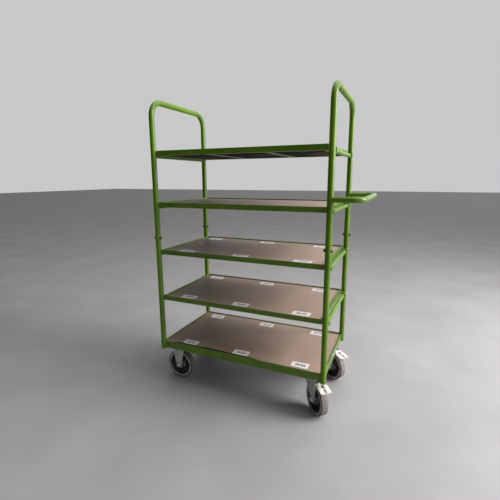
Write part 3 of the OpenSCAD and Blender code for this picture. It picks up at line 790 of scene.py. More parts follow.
labels_low, labels_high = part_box("shelf_labels")
label_decks = [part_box(node)[1].z for node in ("base_panel", "shelf_1_panel", "shelf_2_panel")]
label_places = [(x, labels_low.y + LABEL_WIDTH / 2) for x in (-0.3, 0.007, 0.325)]
label_places += [(x, labels_high.y - LABEL_WIDTH / 2) for x in (-0.345, 0.0, 0.322)]
sheets = [
    label_sheet(place, deck, (i + j) % 2 == 0)
    for j, deck in enumerate(label_decks) for i, place in enumerate(label_places)
]
labels = make_piece("deck_labels", sheets, label_finish(), "trolley", ["shelf_labels"])
print_map = labels.data.uv_layers.new(name="print")
for loop in labels.data.loops:
    sheet_number = loop.vertex_index // len(sheets[0][0])
    corner = labels.data.vertices[loop.vertex_index].co
    x, y = label_places[sheet_number % len(label_places)]
    on_label = (corner.x - x) / LABEL_LENGTH + 0.5, (corner.y - y) / LABEL_WIDTH + 0.5
    print_map.data[loop.index].uv = on_label

# ==== Spare bolts and castor bolts ====
# Zinc plated hexagon bolts. Four stand empty through the uprights, ready for another shelf, and
# sixteen hold the castors to the seat plates.


def plated(name, low, high, rough, metal=1.0, dirt=0.35):
    """Zinc plating: cloudy crystals, grey dirt in streaks, and edges painted lighter, partly rub marks and
    partly a painted highlight.
    """
    finish, tree, shader, wear = new_finish(name, 0.0008, 18.0, 120.0)
    spot = add_node(tree, "TexCoord").outputs["Object"]
    crystal = add_node(tree, "TexVoronoi", Vector=spot, Scale=190.0)
    crystal = between(tree, crystal.outputs["Distance"], 0.1, 0.8)
    cloud = sums(tree, "ADD", sums(tree, "MULTIPLY", crystal, 0.35),
                 between(tree, wear["Tone"], 0.3, 0.7, 0.0, 0.65))
    colour = blend_colours(tree, cloud, low, high)
    # Painted highlight: edges go near white, partly rubbed plating and partly a painted glint along each
    # edge.
    colour = layer(tree, wear["Edge"], 0.55, colour, (0.86, 0.86, 0.87, 1))
    colour = layer(tree, wear["Scuff"], dirt, colour, (0.13, 0.115, 0.1, 1))
    tree.links.new(colour, shader.inputs["Base Color"])
    tree.links.new(between(tree, wear["Scuff"], 0.0, 1.0, metal, metal * 0.5), shader.inputs["Metallic"])
    tree.links.new(between(tree, cloud, 0.0, 1.0, rough + 0.12, rough), shader.inputs["Roughness"])
    relief(tree, shader, noise(tree, spot, 350.0, 3.0), 0.0002, 0.3)
    return finish


FASTENER_ZINC = plated("fastener_zinc", (0.42, 0.42, 0.42, 1), (0.68, 0.68, 0.66, 1), 0.28)


def hex_part(corners, thickness, base, chamfered=(False, True)):
    """A hexagon head or nut standing on base, its corners turned off where it is chamfered."""
    points = 36
    flat = corners / 2 * math.cos(math.radians(30))
    heights = [(base, chamfered[0]), (base + thickness * 0.14, False),
               (base + thickness * 0.86, False), (base + thickness, chamfered[1])]
    rings = []
    for z, cut in heights:
        ring = []
        for i in range(points):
            t = math.tau * i / points
            reach = flat / math.cos((t + math.pi / 6) % (math.pi / 3) - math.pi / 6)
            reach = min(reach, flat * 0.97) if cut else reach
            ring.append(Vector((reach * math.cos(t), reach * math.sin(t), z)))
        rings.append(ring)
    return loft(rings)


def threaded(radius, low, high, pitch=0.00125, plain_to=None):
    """A bolt's shank, plain up to a height and threaded beyond it."""
    profile = [(0.0, low)]
    count = max(1, int((high - low - 0.001) / pitch))
    for i in range(count):
        z = low + 0.0006 + i * pitch
        depth = 0.0006 if plain_to is None or z < plain_to else 0.0
        profile += [(radius - depth, z), (radius, z + pitch / 2)]
    profile += [(radius, high), (0.0, high)]
    return turned(profile, 20)


def washer(outer, inner, thickness, base):
    top, soft = base + thickness, thickness * 0.25
    profile = [(inner, base), (outer - soft, base), (outer, base + soft), (outer, top - soft),
               (outer - soft, top), (inner, top)]
    return turned(profile, 32)


bolt_low, bolt_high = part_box("spare_bolts")
spare_height = (bolt_low.z + bolt_high.z) / 2
HEAD_WIDE, HEAD_T, NUT_T, BOLT_R = 0.015, 0.0053, 0.0065, 0.004
WASHER_R, WASHER_T = 0.008, 0.0016
spares, spare_nuts = [], []
for side in (-1, 1):
    outward = Matrix.Rotation(math.radians(90 * side), 4, "Y")
    for y in (-1, 1):
        place = Matrix.Translation((side * upright_x, y * upright_y, spare_height)) @ outward
        turn = Matrix.Rotation(0.4 * y + 0.3 * side, 4, "Z")
        tip = -upright_r - NUT_T - 0.002
        spares += [
            moved(hex_part(HEAD_WIDE, HEAD_T - WASHER_T, upright_r + WASHER_T), place, turn),
            moved(washer(WASHER_R, 0.0035, WASHER_T, upright_r - 0.0002), place),
            moved(threaded(BOLT_R, tip, -upright_r + 0.001), place),
        ]
        nut = hex_part(HEAD_WIDE, NUT_T, -upright_r - NUT_T, (True, True))
        spare_nuts.append(moved(nut, place, turn))
DULLED_ZINC = plated("dulled_fastener_zinc", (0.045, 0.05, 0.035, 1), (0.1, 0.105, 0.085, 1), 0.5, 0.6)
make_piece("spare_shelf_bolts", spares, DULLED_ZINC, "trolley", ["spare_bolts"])
make_piece("spare_shelf_nuts", spare_nuts, DULLED_ZINC, "trolley", ["spare_nuts"])

CASTOR_HEIGHT, PLATE_T = seat_low.z, 0.004
PLATE_LENGTH, PLATE_WIDTH = 0.085, 0.105
BOLT_SPREAD = (0.03, 0.04)
joints = {joint["name"]: joint for joint in frame["joints"]}


def castor_place(spin, above):
    """A castor's own frame: X trails from the swivel axis, Y is the axle's line, Z is up."""
    axle_line = Vector(joints[spin]["axis"])
    trailing = Vector((axle_line.y, -axle_line.x, 0))
    turn = Matrix((trailing, axle_line, UP)).transposed().to_4x4()
    return Matrix.Translation((above[0], above[1], 0)) @ turn


plate_bolts, plate_nuts = [], []
for name in ("front_swivel", "rear_swivel", "front_fixed_spin", "rear_fixed_spin"):
    x, y = joints[name]["pos_m"][:2]
    outward_x, outward_y = math.copysign(1, x), math.copysign(1, y)
    for u in (-1, 1):
        for v in (-1, 1):
            innermost = u * outward_x < 0 and v * outward_y < 0
            head_z = rail_low.z if innermost else rail_low.z + BASE_STEEL
            spot = Matrix.Translation((x + u * BOLT_SPREAD[0], y + v * BOLT_SPREAD[1], 0))
            turn = Matrix.Rotation(0.7 * u + 0.4 * v * x, 4, "Z")
            tip = CASTOR_HEIGHT - PLATE_T - NUT_T
            nut = hex_part(HEAD_WIDE, NUT_T, tip, (True, True))
            plate_bolts += [moved(hex_part(HEAD_WIDE, HEAD_T, head_z), spot, turn),
                            moved(threaded(BOLT_R, tip - 0.002, tip + 0.001), spot)]
            plate_nuts.append(moved(nut, spot, turn))
make_piece("castor_plate_bolts", plate_bolts, FASTENER_ZINC, "trolley",
           ["castor_bolts"])
make_piece("castor_plate_nuts", plate_nuts, FASTENER_ZINC, "trolley", ["castor_nuts"])

# ==== Castor top plates and swivel heads ====
# Pressed and zinc plated steel. Each swivel castor has a plate with a ball race rolled onto it,
# a ring of balls and a riveted kingpin that holds the fork up against them.

CASTOR_ZINC = plated("castor_zinc", (0.42, 0.43, 0.45, 1), (0.72, 0.73, 0.76, 1), 0.4, 0.5, 0.5)
AXLE_ZINC = plated("axle_zinc", (0.62, 0.62, 0.61, 1), (0.86, 0.86, 0.84, 1), 0.3, 0.35)
BALL_STEEL = plated("bearing_steel_finish", (0.3, 0.29, 0.28, 1), (0.62, 0.61, 0.6, 1), 0.2)
CROWN_TOP, CROWN_LOW = 0.178, 0.173
RACE_R, PIN_R = 0.034, 0.008


def top_plate():
    outline = rounded_outline(PLATE_LENGTH, PLATE_WIDTH, 0.008)
    return flat_plate([outline], PLATE_T, 0.0008, CASTOR_HEIGHT)


race_top = CASTOR_HEIGHT - PLATE_T + 0.0005
race_profile = [(0.02, race_top), (RACE_R + 0.004, race_top), (RACE_R + 0.0035, 0.189),
                (RACE_R + 0.002, 0.187), (RACE_R + 0.0028, 0.1845), (RACE_R + 0.0022, 0.1805),
                (RACE_R + 0.0006, 0.1795), (RACE_R - 0.0004, 0.1803), (RACE_R - 0.001, 0.1843),
                (0.02, 0.1843)]
pin_profile = [(0.0, 0.1655), (0.009, 0.1655), (0.0122, 0.1668), (0.013, 0.169), (0.013, 0.1725),
               (PIN_R, 0.1727), (PIN_R, CASTOR_HEIGHT - 0.0006), (0.0, CASTOR_HEIGHT - 0.0005)]
heads, pins = [], []
for side in ("front", "rear"):
    place = Matrix.Translation((*joints[side + "_swivel"]["pos_m"][:2], 0))
    heads += [moved(top_plate(), place), moved(turned(race_profile, 64), place)]
    pins.append(moved(turned(pin_profile, 40), place))
make_piece("swivel_top_plates", heads, CASTOR_ZINC, "trolley", ["swivel_plates"])
make_piece("riveted_kingpins", pins, AXLE_ZINC, "trolley", ["swivel_kingpins"])
balls = frame["nodes"]["swivel_balls"]
balls.data.materials.clear()
balls.data.materials.append(BALL_STEEL)

# ==== Castor forks ====
# Each fork is one pressing: a crown over the wheel with a leg down each side. The legs taper to
# the axle and have a long rib pressed into them, and the swivel ones carry an ear for the pedal.

GAP, LEG_T, LEG_END = 0.05, 0.004, 0.017
EAR_AHEAD, EAR_R = 0.062, 0.009
EAR_HEIGHT = CROWN_TOP - EAR_R
AXLE_HEIGHT = joints["front_castor_spin"]["pos_m"][2]
LEG_BACK, LEG_FRONT = -0.036, 0.046
CROWN_BEND, CROWN_SIDE = 0.0085, 0.021
STAND = Matrix.Rotation(math.radians(90), 4, "X")


def distance(tree, spot, centre, axes):
    """How far a place is from a centre, measured along the given axes only."""
    flat = add_node(tree, "VectorMath", {"operation": "MULTIPLY"}, i0=spot, i1=axes)
    gap = add_node(tree, "VectorMath", {"operation": "DISTANCE"}, i0=flat.outputs[0], i1=centre)
    return gap.outputs["Value"]


def fork_zinc(name, trail):
    """Castor zinc with a near-black ring round the axle, partly oily dirt and partly painted shade round the
    nut.
    """
    finish = plated(name, (0.46, 0.47, 0.49, 1), (0.76, 0.77, 0.8, 1), 0.4, 0.45, 0.5)
    tree, shader, plating, spot = opened(finish)
    from_axle = distance(tree, spot, (trail, 0, AXLE_HEIGHT), (1, 0, 1))
    patchy = between(tree, noise(tree, spot, 180.0, 3.0), 0.35, 0.6, 0.5, 0.95)
    # Painted shade: a near-black ring round the axle nut, partly oily dirt, so the nut stands apart from the
    # fork.
    axle_ring_dirt_and_shade = sums(tree, "MULTIPLY", between(tree, from_axle, 0.0175, 0.0145), patchy)
    colour = blend_colours(tree, axle_ring_dirt_and_shade, plating, (0.022, 0.02, 0.019, 1))
    tree.links.new(colour, shader.inputs["Base Color"])
    return finish


def swivel_above(side):
    """Where a castor's swivel axis stands, as (x, y)."""
    return joints[side + "_swivel"]["pos_m"][:2]


def trail_of(side):
    """How far a swivel castor's axle trails behind its swivel axis."""
    axle = Vector(joints[side + "_castor_spin"]["pos_m"]).xy
    return (axle - Vector(swivel_above(side))).length


def flat_arc(centre, radius, first, last, steps=10):
    """Points on a flat arc, with angles in degrees."""
    turns = [math.radians(first + (last - first) * i / steps) for i in range(steps + 1)]
    return [(centre[0] + radius * math.cos(t), centre[1] + radius * math.sin(t)) for t in turns]


def swivel_leg(trail):
    """The raked leg seen from the side, as (along, up)."""
    ear = flat_arc((EAR_AHEAD, EAR_HEIGHT), EAR_R, 96, -30, 14)
    foot = flat_arc((trail, AXLE_HEIGHT), LEG_END, 4, -198, 24)
    shoulder = [(LEG_BACK + 0.002, CROWN_LOW - 0.013), (LEG_BACK, CROWN_TOP - CROWN_BEND),
                (LEG_FRONT - 0.006, CROWN_TOP - CROWN_BEND), (LEG_FRONT, CROWN_TOP - 0.001)]
    return shoulder + ear + foot


def fixed_leg():
    half = PLATE_LENGTH / 2 - 0.004
    foot = flat_arc((0, AXLE_HEIGHT), LEG_END, 12, -192, 24)
    top = CASTOR_HEIGHT - PLATE_T + 0.001
    return [(-half, top), (half, top)] + foot


def leg_pair(outline, rib_top, rib_foot, rib_width):
    """Two legs with pressed ribs standing out of their outer faces."""
    parts = []
    for side in (-1, 1):
        outer = side * (GAP / 2 + LEG_T)
        plate = flat_plate([outline], LEG_T, 0.0011, LEG_T / 2, 3)
        parts.append(moved(plate, Matrix.Translation((0, side * (GAP + LEG_T) / 2, 0)), STAND))
        rings = []
        for share, height in ((0.0, -0.0006), (0.1, 0.0002), (0.3, 0.0012), (0.52, 0.0016)):
            ring = []
            for i in range(32):
                t = math.tau * i / 32
                end, width = (rib_top, rib_width) if math.sin(t) > 0 else (rib_foot, rib_width * 0.45)
                spread = width * (1 - share)
                ring.append(Vector((end[0] + spread * math.cos(t), outer + side * height,
                                    end[1] + spread * math.sin(t))))
            rings.append(ring)
        parts.append(loft(rings))
    return parts


def crown(front, back):
    """The pressed bridge over the wheel, bent down at both sides, with a round seat on it."""
    half, bend, low = GAP / 2 + LEG_T + 0.0002, CROWN_BEND, CROWN_TOP - CROWN_SIDE
    right, up = Vector((1, 0)), Vector((0, 1))
    outer = [Vector((-half, low))]
    outer += arc(Vector((-half + bend, CROWN_TOP - bend)), -right * bend, up * bend, 6)
    outer += arc(Vector((half - bend, CROWN_TOP - bend)), up * bend, right * bend, 6)
    outer += [Vector((half, low))]
    inset, tight = half - LEG_T - 0.0004, bend - LEG_T
    inner = [Vector((inset, low))]
    inner += arc(Vector((inset - tight, CROWN_LOW - tight)), right * tight, up * tight, 4)
    inner += arc(Vector((-inset + tight, CROWN_LOW - tight)), up * tight, -right * tight, 4)
    inner += [Vector((-inset, low))]
    strap = loft([[Vector((x, p.x, p.y)) for p in outer + inner] for x in (back, front)])
    seat = [(PIN_R, CROWN_LOW), (0.0365, CROWN_LOW), (0.0395, CROWN_LOW + 0.0006), (0.04, 0.1748),
            (0.04, 0.1765), (0.0388, 0.1779), (0.034, CROWN_TOP + 0.0001), (PIN_R, CROWN_TOP + 0.0001)]
    return [strap, turned(seat, 64)]


SWIVEL_FORK = fork_zinc("swivel_fork_zinc", trail_of("front"))
FIXED_FORK = fork_zinc("fixed_fork_zinc", 0.0)
for side in ("front", "rear"):
    place = castor_place(side + "_castor_spin", swivel_above(side))
    trail = trail_of(side)
    parts = leg_pair(swivel_leg(trail), (0.012, 0.145), (trail - 0.002, 0.108), 0.014)
    parts += crown(LEG_FRONT - 0.006, LEG_BACK + 0.001)
    make_piece(side + "_swivel_fork_pressing", parts, SWIVEL_FORK, side + "_castor_fork",
               [side + "_swivel_fork"], place, edge=0.0005)
    fixed_place = castor_place(side + "_fixed_spin", joints[side + "_fixed_spin"]["pos_m"][:2])
    parts = leg_pair(fixed_leg(), (0.0, 0.158), (0.0, 0.108), 0.016)
    parts += [top_plate()]
    for y in (-1, 1):
        seam = Vector((0, y * (GAP / 2 + LEG_T), CASTOR_HEIGHT - PLATE_T))
        parts.append(bead_between(seam - ACROSS * 0.036, seam + ACROSS * 0.036, size=0.0015))
    make_piece(side + "_fixed_fork_pressing", parts, FIXED_FORK, "trolley",
               [side + "_fixed_fork"], fixed_place)

# ==== Axles ====
# Zinc plated 12 mm bolts with a hexagon head in front and a lock nut behind, and a collar at
# each side of the hub.

AXLE_R, AXLE_HEAD, AXLE_HEAD_T, AXLE_NUT_T, AXLE_END = 0.006, 0.0219, 0.0075, 0.01, 0.003
AXLE_WASHER_R, AXLE_WASHER_T = 0.0125, 0.0015
HUB_LENGTH = 0.046
HALF_FORK = GAP / 2 + LEG_T
LIE = Matrix.Rotation(math.radians(-90), 4, "X")


def axle_parts():
    """The axle along local Z, head at the lower end, and its nut apart from it."""
    collar_t = (GAP - HUB_LENGTH) / 2 - 0.0003
    end = HALF_FORK + AXLE_NUT_T + AXLE_END
    head = hex_part(AXLE_HEAD, AXLE_HEAD_T - AXLE_WASHER_T, -HALF_FORK - AXLE_HEAD_T, (True, False))
    ring = washer(AXLE_WASHER_R, 0.0055, AXLE_WASHER_T, -HALF_FORK - AXLE_WASHER_T)
    bolt = [head, ring, threaded(AXLE_R, -HALF_FORK - 0.001, end, 0.00175, HALF_FORK - 0.002)]
    for low in (-GAP / 2, GAP / 2 - collar_t):
        bolt.append(washer(AXLE_R + 0.0025, AXLE_R - 0.0002, collar_t, low))
    nut = [hex_part(AXLE_HEAD, AXLE_NUT_T - 0.003, HALF_FORK + 0.0001, (False, True)),
           turned([(0.0055, HALF_FORK + 0.006), (0.0088, HALF_FORK + 0.006), (0.0084, HALF_FORK + 0.009),
                   (0.0074, HALF_FORK + AXLE_NUT_T), (0.0055, HALF_FORK + AXLE_NUT_T)], 32)]
    return bolt, nut


fixed_bolts, fixed_nuts = [], []
for side in ("front", "rear"):
    castor = castor_place(side + "_castor_spin", swivel_above(side))
    place = castor @ Matrix.Translation((trail_of(side), 0, AXLE_HEIGHT)) @ LIE
    bolt, nut = axle_parts()
    make_piece(side + "_castor_axle_bolt", bolt, AXLE_ZINC, side + "_castor_fork",
               [side + "_swivel_axle"], place)
    make_piece(side + "_castor_axle_lock_nut", nut, AXLE_ZINC, side + "_castor_fork",
               [side + "_swivel_axle_nut"], place)
    fixed = Matrix.Translation(joints[side + "_fixed_spin"]["pos_m"]) @ LIE
    fixed_bolts += [moved(part, fixed) for part in bolt]
    fixed_nuts += [moved(part, fixed) for part in nut]
make_piece("fixed_castor_axle_bolts", fixed_bolts, AXLE_ZINC, "trolley", ["fixed_axles"])
make_piece("fixed_castor_lock_nuts", fixed_nuts, AXLE_ZINC, "trolley", ["fixed_axle_nuts"])

# ==== Wheels ====
# A solid rubber tread pressed on a moulded centre with six ribs on each side of its web, turning
# on two shielded ball bearings. Floor dust has greyed the tread and the ring beside it.

WHEEL_R, TREAD_W, RIM_R, RIM_W = 0.08, 0.038, 0.066, 0.034
HUB_R, BEARING_R, BEARING_W, WEB_T = 0.023, 0.016, 0.01, 0.009
RIBS, FIRST_RIB, BOSS_RING = 6, 0.26, 0.037


def tread_finish():
    """Black rubber, grey with dust on the running face and on a ring round the side."""
    finish = moulded_plastic("tread_rubber_finish", (0.021, 0.019, 0.02, 1), (0.036, 0.033, 0.034, 1),
                             (0.13, 0.115, 0.112, 1), 0.6)
    tree, shader, rubber, spot = opened(finish)
    radius = distance(tree, spot, (0, 0, 0), (1, 1, 0))
    inner = between(tree, radius, 0.0655, 0.0662)
    outer = between(tree, radius, 0.0752, 0.0732)
    patchy = between(tree, noise(tree, spot, 42.0, 4.0), 0.3, 0.6, 0.55, 1.0)
    ring = sums(tree, "MULTIPLY", sums(tree, "MULTIPLY", inner, outer), patchy)
    running = sums(tree, "MULTIPLY", between(tree, radius, 0.0783, 0.0797), patchy)
    colour = layer(tree, ring, 0.95, rubber, (0.74, 0.65, 0.63, 1))
    colour = layer(tree, running, 0.85, colour, (0.25, 0.22, 0.21, 1))
    tree.links.new(colour, shader.inputs["Base Color"])
    return finish


TREAD = tread_finish()


def centre_finish():
    """Dark moulded plastic, dusty on the band next to the tread, and painted light round the hub, partly
    dust and partly a painted highlight.
    """
    finish = moulded_plastic("wheel_centre_moulding", (0.022, 0.02, 0.023, 1), (0.045, 0.042, 0.046, 1),
                             (0.2, 0.18, 0.175, 1), 0.5)
    tree, shader, plastic, spot = opened(finish)
    radius = distance(tree, spot, (0, 0, 0), (1, 1, 0))
    patchy = between(tree, noise(tree, spot, 65.0, 4.0), 0.42, 0.62)
    # Round the hub the light patches are partly dust and partly a painted highlight, standing in for the
    # small highlights of the hub.
    hub = between(tree, radius, 0.036, 0.024)
    band = between(tree, radius, 0.0608, 0.0638)
    dusty = sums(tree, "MULTIPLY", sums(tree, "MAXIMUM", hub, band), patchy)
    colour = layer(tree, dusty, 0.85, plastic, (0.58, 0.53, 0.52, 1))
    tree.links.new(colour, shader.inputs["Base Color"])
    return finish


WHEEL_CENTRE = centre_finish()


def tread_profile():
    """The tread's outline: flat running face, round shoulders and a raised ring on each side."""
    half, shoulder = TREAD_W / 2, 0.0055
    upper = [(RIM_R - 0.0005, half - 0.0035), (RIM_R + 0.0008, half - 0.0012),
             (RIM_R + 0.002, half - 0.0002), (0.0722, half - 0.0002), (0.0733, half - 0.0012),
             (0.0742, half - 0.0014)]
    upper += flat_arc((WHEEL_R - shoulder, half - shoulder - 0.0005), shoulder, 75, 4, 8)
    return upper + [(r, -z) for r, z in reversed(upper)]


def rim_profile():
    """Rim band, dished web and hub as one closed outline."""
    half, hub = RIM_W / 2, HUB_LENGTH / 2
    upper = [(RIM_R, half - 0.0006), (RIM_R - 0.0006, half), (RIM_R - 0.0064, half),
             (RIM_R - 0.0075, half - 0.0012), (RIM_R - 0.0095, 0.0085), (RIM_R - 0.0125, 0.0056),
             (RIM_R - 0.017, WEB_T / 2), (HUB_R + 0.009, WEB_T / 2), (HUB_R + 0.004, 0.0065),
             (HUB_R + 0.001, 0.0115), (HUB_R, hub - 0.0015), (HUB_R - 0.0012, hub), (BEARING_R, hub),
             (BEARING_R, hub - BEARING_W), (BEARING_R - 0.002, hub - BEARING_W - 0.0005)]
    return upper + [(r, -z) for r, z in reversed(upper)]


def wheel_rib(turn):
    """One rib, from the hub to the rim, thinner and lower in the middle."""
    outline = ((1, -0.93), (1, 0.93), (0.55, 1), (-0.55, 1),
               (-1, 0.93), (-1, -0.93), (-0.55, -1), (0.55, -1))
    rings = []
    for share in range(9):
        r = HUB_R - 0.001 + (RIM_R - 0.0085 - HUB_R) * share / 8
        dip = math.sin(math.pi * share / 8)
        half_w, half_t = 0.0032 - 0.0011 * dip, 0.0155 - 0.0048 * dip
        rings.append([Vector((r, half_w * u, half_t * v)) for u, v in outline])
    return moved(loft(rings), Matrix.Rotation(turn, 4, "Z"))


def bearing_parts():
    """Two ball bearings with pressed shields, each a turned outline of rings and shield."""
    parts = []
    for side in (-1, 1):
        outer = side * HUB_LENGTH / 2
        inner = outer - side * BEARING_W
        face = outer - side * 0.0008
        outline = [(AXLE_R + 0.0001, inner), (AXLE_R + 0.0001, outer), (0.0089, outer), (0.0093, face),
                   (0.0132, face), (0.0136, outer), (BEARING_R - 0.0004, outer),
                   (BEARING_R, outer - side * 0.0004), (BEARING_R, inner)]
        parts.append(turned(outline, 40))
    return parts


boss = [(0.0, -0.0062), (0.0034, -0.0062), (0.004, -0.0056),
        (0.004, 0.0056), (0.0034, 0.0062), (0.0, 0.0062)]
rim_parts = [turned(rim_profile(), 72)]
rim_parts += [wheel_rib(math.tau * i / RIBS + FIRST_RIB) for i in range(RIBS)]
for i in range(RIBS):
    turn = Matrix.Rotation(math.tau * (i + 0.5) / RIBS + FIRST_RIB, 4, "Z")
    rim_parts.append(moved(turned(boss, 16), turn, Matrix.Translation((BOSS_RING, 0, 0))))
for side in ("front", "rear"):
    for kind, spin in (("castor", "_castor_spin"), ("fixed", "_fixed_spin")):
        joint = joints[side + spin]
        node = side + ("_swivel" if kind == "castor" else "_fixed")
        flat = castor_place(side + spin, (0, 0)).to_3x3().to_4x4()
        place = Matrix.Translation(joint["pos_m"]) @ flat @ LIE
        body = f"{side}_{kind}_wheel"
        make_piece(body + "_tread", [turned(tread_profile(), 96)], TREAD, body,
                   [node + "_tyre"], place)
        make_piece(body + "_centre", rim_parts, WHEEL_CENTRE, body, [node + "_rim"],
                   place, edge=0.0004)
        make_piece(body + "_ball_bearings", bearing_parts(), BALL_STEEL, body,
                   [node + "_bearings"], place)

# ==== Brakes ====
# A stamped pedal, pinned through the ears of each swivel fork, with two long holes and a lip for
# the toe. It presses a steel shoe on the tread.

PEDAL_NECK, PEDAL_W, PEDAL_T, PEDAL_OUT, PEDAL_LOW = 0.046, 0.056, 0.0025, 0.07, 0.0045
PEDAL_HOLES, HOLE_RUN, HOLE_R = (0.019, 0.045), 0.009, 0.0055
PEDAL_TILT = math.radians(16)
PEDAL_PIN_R, PIN_HEAD_R = 0.004, 0.006
PEDAL_EAR_T, PEDAL_EAR_Y, SHOE_W = 0.0025, 0.02075, 0.03


def pedal_finish():
    """Pale yellowish zinc, scuffed brighter where feet press it, with painted shade round its holes and
    across the bend into the lip.
    """
    finish, tree, shader, wear = new_finish("pedal_plating", 0.0012, 30.0, 150.0)
    tone = between(tree, wear["Tone"], 0.35, 0.65)
    colour = blend_colours(tree, tone, (0.62, 0.59, 0.53, 1), (0.82, 0.8, 0.75, 1))
    colour = layer(tree, wear["Scuff"], 0.55, colour, (0.26, 0.23, 0.19, 1))
    colour = layer(tree, wear["Edge"], 0.7, colour, (0.85, 0.84, 0.8, 1))
    spot = add_node(tree, "TexCoord").outputs["Object"]
    along_pedal = add_node(tree, "SeparateXYZ", Vector=spot).outputs["X"]
    # Painted shade: a dark band across the pedal where the plate bends up into the lip.
    lip_fold_shade = sums(tree, "MULTIPLY", between(tree, along_pedal, 0.0608, 0.0632),
                  between(tree, along_pedal, 0.0682, 0.0668))
    colour = layer(tree, lip_fold_shade, 0.85, colour, (0.09, 0.08, 0.07, 1))
    for first in PEDAL_HOLES:
        last = first + HOLE_RUN
        nearest = between(tree, along_pedal, first, last, first, last)
        centre = add_node(tree, "CombineXYZ", X=nearest).outputs[0]
        away = distance(tree, spot, centre, (1, 1, 0))
        # Painted shade: a dark rim round each long hole, so the holes read darker.
        hole_rim_shade = between(tree, away, HOLE_R + 0.0022, HOLE_R + 0.0008, 0.0, 0.9)
        colour = blend_colours(tree, hole_rim_shade, colour, (0.03, 0.028, 0.025, 1))
    tree.links.new(colour, shader.inputs["Base Color"])
    tree.links.new(between(tree, wear["Scuff"], 0.0, 1.0, 0.35, 0.15), shader.inputs["Metallic"])
    tree.links.new(between(tree, wear["Tone"], 0.3, 0.7, 0.36, 0.5), shader.inputs["Roughness"])
    relief(tree, shader, noise(tree, spot, 240.0, 3.0), 0.0002, 0.3)
    return finish


PEDAL = pedal_finish()


def long_hole(x, length, radius):
    return flat_arc((x + length, 0), radius, -90, 90, 10) + flat_arc((x, 0), radius, 90, 270, 10)


def pedal_parts():
    """The pedal lying along local X from its pin at the origin."""
    half, neck, lip_bend = PEDAL_W / 2, PEDAL_NECK / 2, 0.005
    flat_end = PEDAL_OUT - lip_bend
    upper = [(flat_end, half), (0.026, half), (0.0215, half - 0.001), (0.017, neck + 0.0012),
             (0.0145, neck), (0.0075, neck), (0.0062, neck - 0.0015)]
    outline = upper + [(x, -y) for x, y in reversed(upper)]
    holes = [long_hole(x, HOLE_RUN, HOLE_R) for x in PEDAL_HOLES]
    parts = [flat_plate([outline, *holes], PEDAL_T, 0.0005, PEDAL_LOW + PEDAL_T)]
    low, top = PEDAL_LOW, PEDAL_LOW + PEDAL_T
    under = [Vector((flat_end - 0.0003, 0, low))]
    under += arc(Vector((flat_end, 0, low + lip_bend)), -UP * lip_bend, ACROSS * lip_bend, 6)
    under += [Vector((PEDAL_OUT, 0, low + 0.0078))]
    tight = lip_bend - PEDAL_T
    over = [Vector((PEDAL_OUT - PEDAL_T, 0, low + 0.0078))]
    over += arc(Vector((flat_end, 0, top + tight)), ACROSS * tight, -UP * tight, 6)
    over += [Vector((flat_end - 0.0003, 0, top))]
    strip = under + over
    rings = []
    for share in range(13):
        y = -half + PEDAL_W * share / 12
        rings.append([p + DEEP * y for p in strip])
    parts.append(loft(rings))
    ear = flat_arc((0, 0), 0.007, 60, 270, 16)
    ear += [(0.024, 0.0), (0.038, PEDAL_LOW + 0.001), (0.012, PEDAL_LOW + 0.0012)]
    for y in (-PEDAL_EAR_Y, PEDAL_EAR_Y):
        plate = flat_plate([ear], PEDAL_EAR_T, 0.0005, PEDAL_EAR_T / 2)
        parts.append(moved(plate, Matrix.Translation((0, y, 0)), STAND))
    return parts


def shoe_parts():
    """The cam on the pin: a hub with a blunt nose towards the tread."""
    nose = flat_arc((0, 0), 0.0115, -113, -61, 8)
    outline = flat_arc((0, 0), 0.007, -50, 225, 24) + nose
    return [moved(flat_plate([outline], SHOE_W, 0.0006, SHOE_W / 2), STAND)]


for side in ("front", "rear"):
    castor = castor_place(side + "_castor_spin", swivel_above(side))
    at_pin = castor @ Matrix.Translation((EAR_AHEAD, 0, EAR_HEIGHT))
    tilted = at_pin @ Matrix.Rotation(PEDAL_TILT, 4, "Y")
    make_piece(side + "_stamped_pedal", pedal_parts(), PEDAL, side + "_castor_pedal",
               [side + "_brake_pedal"], tilted)
    make_piece(side + "_steel_shoe", shoe_parts(), CASTOR_ZINC, side + "_castor_pedal",
               [side + "_brake_shoe"], at_pin)
    end = HALF_FORK
    pin = [(0.0, -end - 0.0015), (0.0045, -end - 0.0015), (PIN_HEAD_R, -end - 0.0006),
           (PIN_HEAD_R, -end), (PEDAL_PIN_R, -end), (PEDAL_PIN_R, end), (PIN_HEAD_R, end),
           (PIN_HEAD_R, end + 0.0006), (0.0045, end + 0.0015), (0.0, end + 0.0015)]
    make_piece(side + "_pedal_rivet", [turned(pin, 28)], AXLE_ZINC, side + "_castor_fork",
               [side + "_brake_pin"], at_pin @ LIE)

# ==== Floor, light and camera ====
# A plain pale floor under one broad window of light at the handle end, with weaker light from
# behind and above.


def flat_sheet(name, size, finish):
    """A flat square sheet on the ground, around the middle."""
    mesh = bpy.data.meshes.new(name)
    corners = [(u * size / 2, v * size / 2, 0) for u, v in ((-1, -1), (1, -1), (1, 1), (-1, 1))]
    mesh.from_pydata(corners, [], [(0, 1, 2, 3)])
    mesh.materials.append(finish)
    sheet = bpy.data.objects.new(name, mesh)
    bpy.context.scene.collection.objects.link(sheet)
    return sheet


floor_finish = bpy.data.materials.new("pale_floor")
floor_finish.use_nodes = True
floor_tree = floor_finish.node_tree
floor_shader = floor_tree.nodes["Principled BSDF"]
floor_spot = add_node(floor_tree, "TexCoord").outputs["Object"]
floor_tone = between(floor_tree, noise(floor_tree, floor_spot, 2.5, 6.0), 0.3, 0.7)
floor_colour = blend_colours(floor_tree, floor_tone, (0.3, 0.29, 0.29, 1), (0.35, 0.34, 0.34, 1))
floor_tree.links.new(floor_colour, floor_shader.inputs["Base Color"])
floor_shader.inputs["Roughness"].default_value = 0.7
flat_sheet("studio_floor", 60.0, floor_finish)


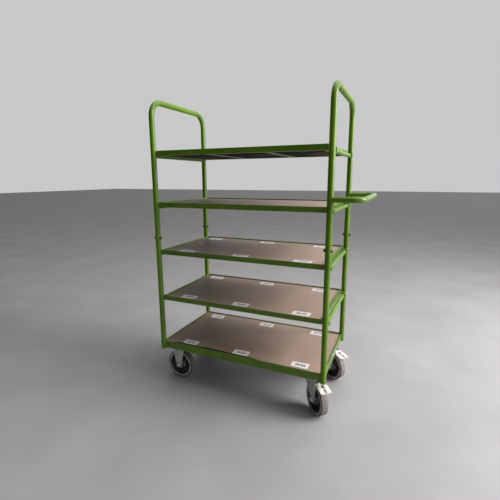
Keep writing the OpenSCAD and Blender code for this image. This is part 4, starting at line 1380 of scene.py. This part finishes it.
def area_light(name, place, target, size, power, colour):
    """A soft rectangular light turned towards a target."""
    data = bpy.data.lights.new(name, "AREA")
    data.shape = "RECTANGLE"
    data.size, data.size_y = size
    data.energy = power
    data.color = colour
    light = bpy.data.objects.new(name, data)
    light.location = place
    light.rotation_euler = (Vector(target) - Vector(place)).to_track_quat("-Z", "Y").to_euler()
    bpy.context.scene.collection.objects.link(light)


area_light("window_at_handle_end", (3.7, 0.55, 2.3), (0.0, 0.0, 0.7), (2.0, 2.8), 265, (1.0, 0.99, 0.98))
area_light("soft_top", (0.5, 0.3, 4.6), (0.0, 0.0, 0.0), (4.0, 4.0), 80, (0.97, 0.98, 1.0))

world = bpy.data.worlds.new("studio")
world.use_nodes = True
world_tree = world.node_tree
world_way = add_node(world_tree, "TexCoord").outputs["Generated"]
bright_side = (0.68, 0.66, 0.3)
towards = add_node(world_tree, "VectorMath", {"operation": "DOT_PRODUCT"}, i0=world_way, i1=bright_side)
glow = between(world_tree, towards.outputs["Value"], -0.35, 0.75)
world_colour = blend_colours(world_tree, glow, (0.014, 0.014, 0.017, 1), (0.95, 0.95, 0.97, 1))
seen = add_node(world_tree, "LightPath").outputs["Is Camera Ray"]
world_colour = blend_colours(world_tree, seen, world_colour, (0.66, 0.66, 0.67, 1))
background = world_tree.nodes["Background"]
world_tree.links.new(world_colour, background.inputs["Color"])
background.inputs["Strength"].default_value = 0.88
bpy.context.scene.world = world
bpy.context.scene.view_settings.view_transform = "Standard"

camera_data = bpy.data.cameras.new("camera")
camera_data.sensor_width = 36.0
camera_data.lens = 25.64
camera = bpy.data.objects.new("camera", camera_data)
camera.location = (0.749, -1.754, 1.132)
aim = Vector((-0.3964, 0.8965, -0.1980))
roll = Matrix.Rotation(math.radians(0.26), 4, aim)
camera.matrix_world = (Matrix.Translation(camera.location) @ roll.to_3x3().to_4x4()
                       @ aim.to_track_quat("-Z", "Y").to_matrix().to_4x4())
bpy.context.scene.collection.objects.link(camera)
bpy.context.scene.camera = camera
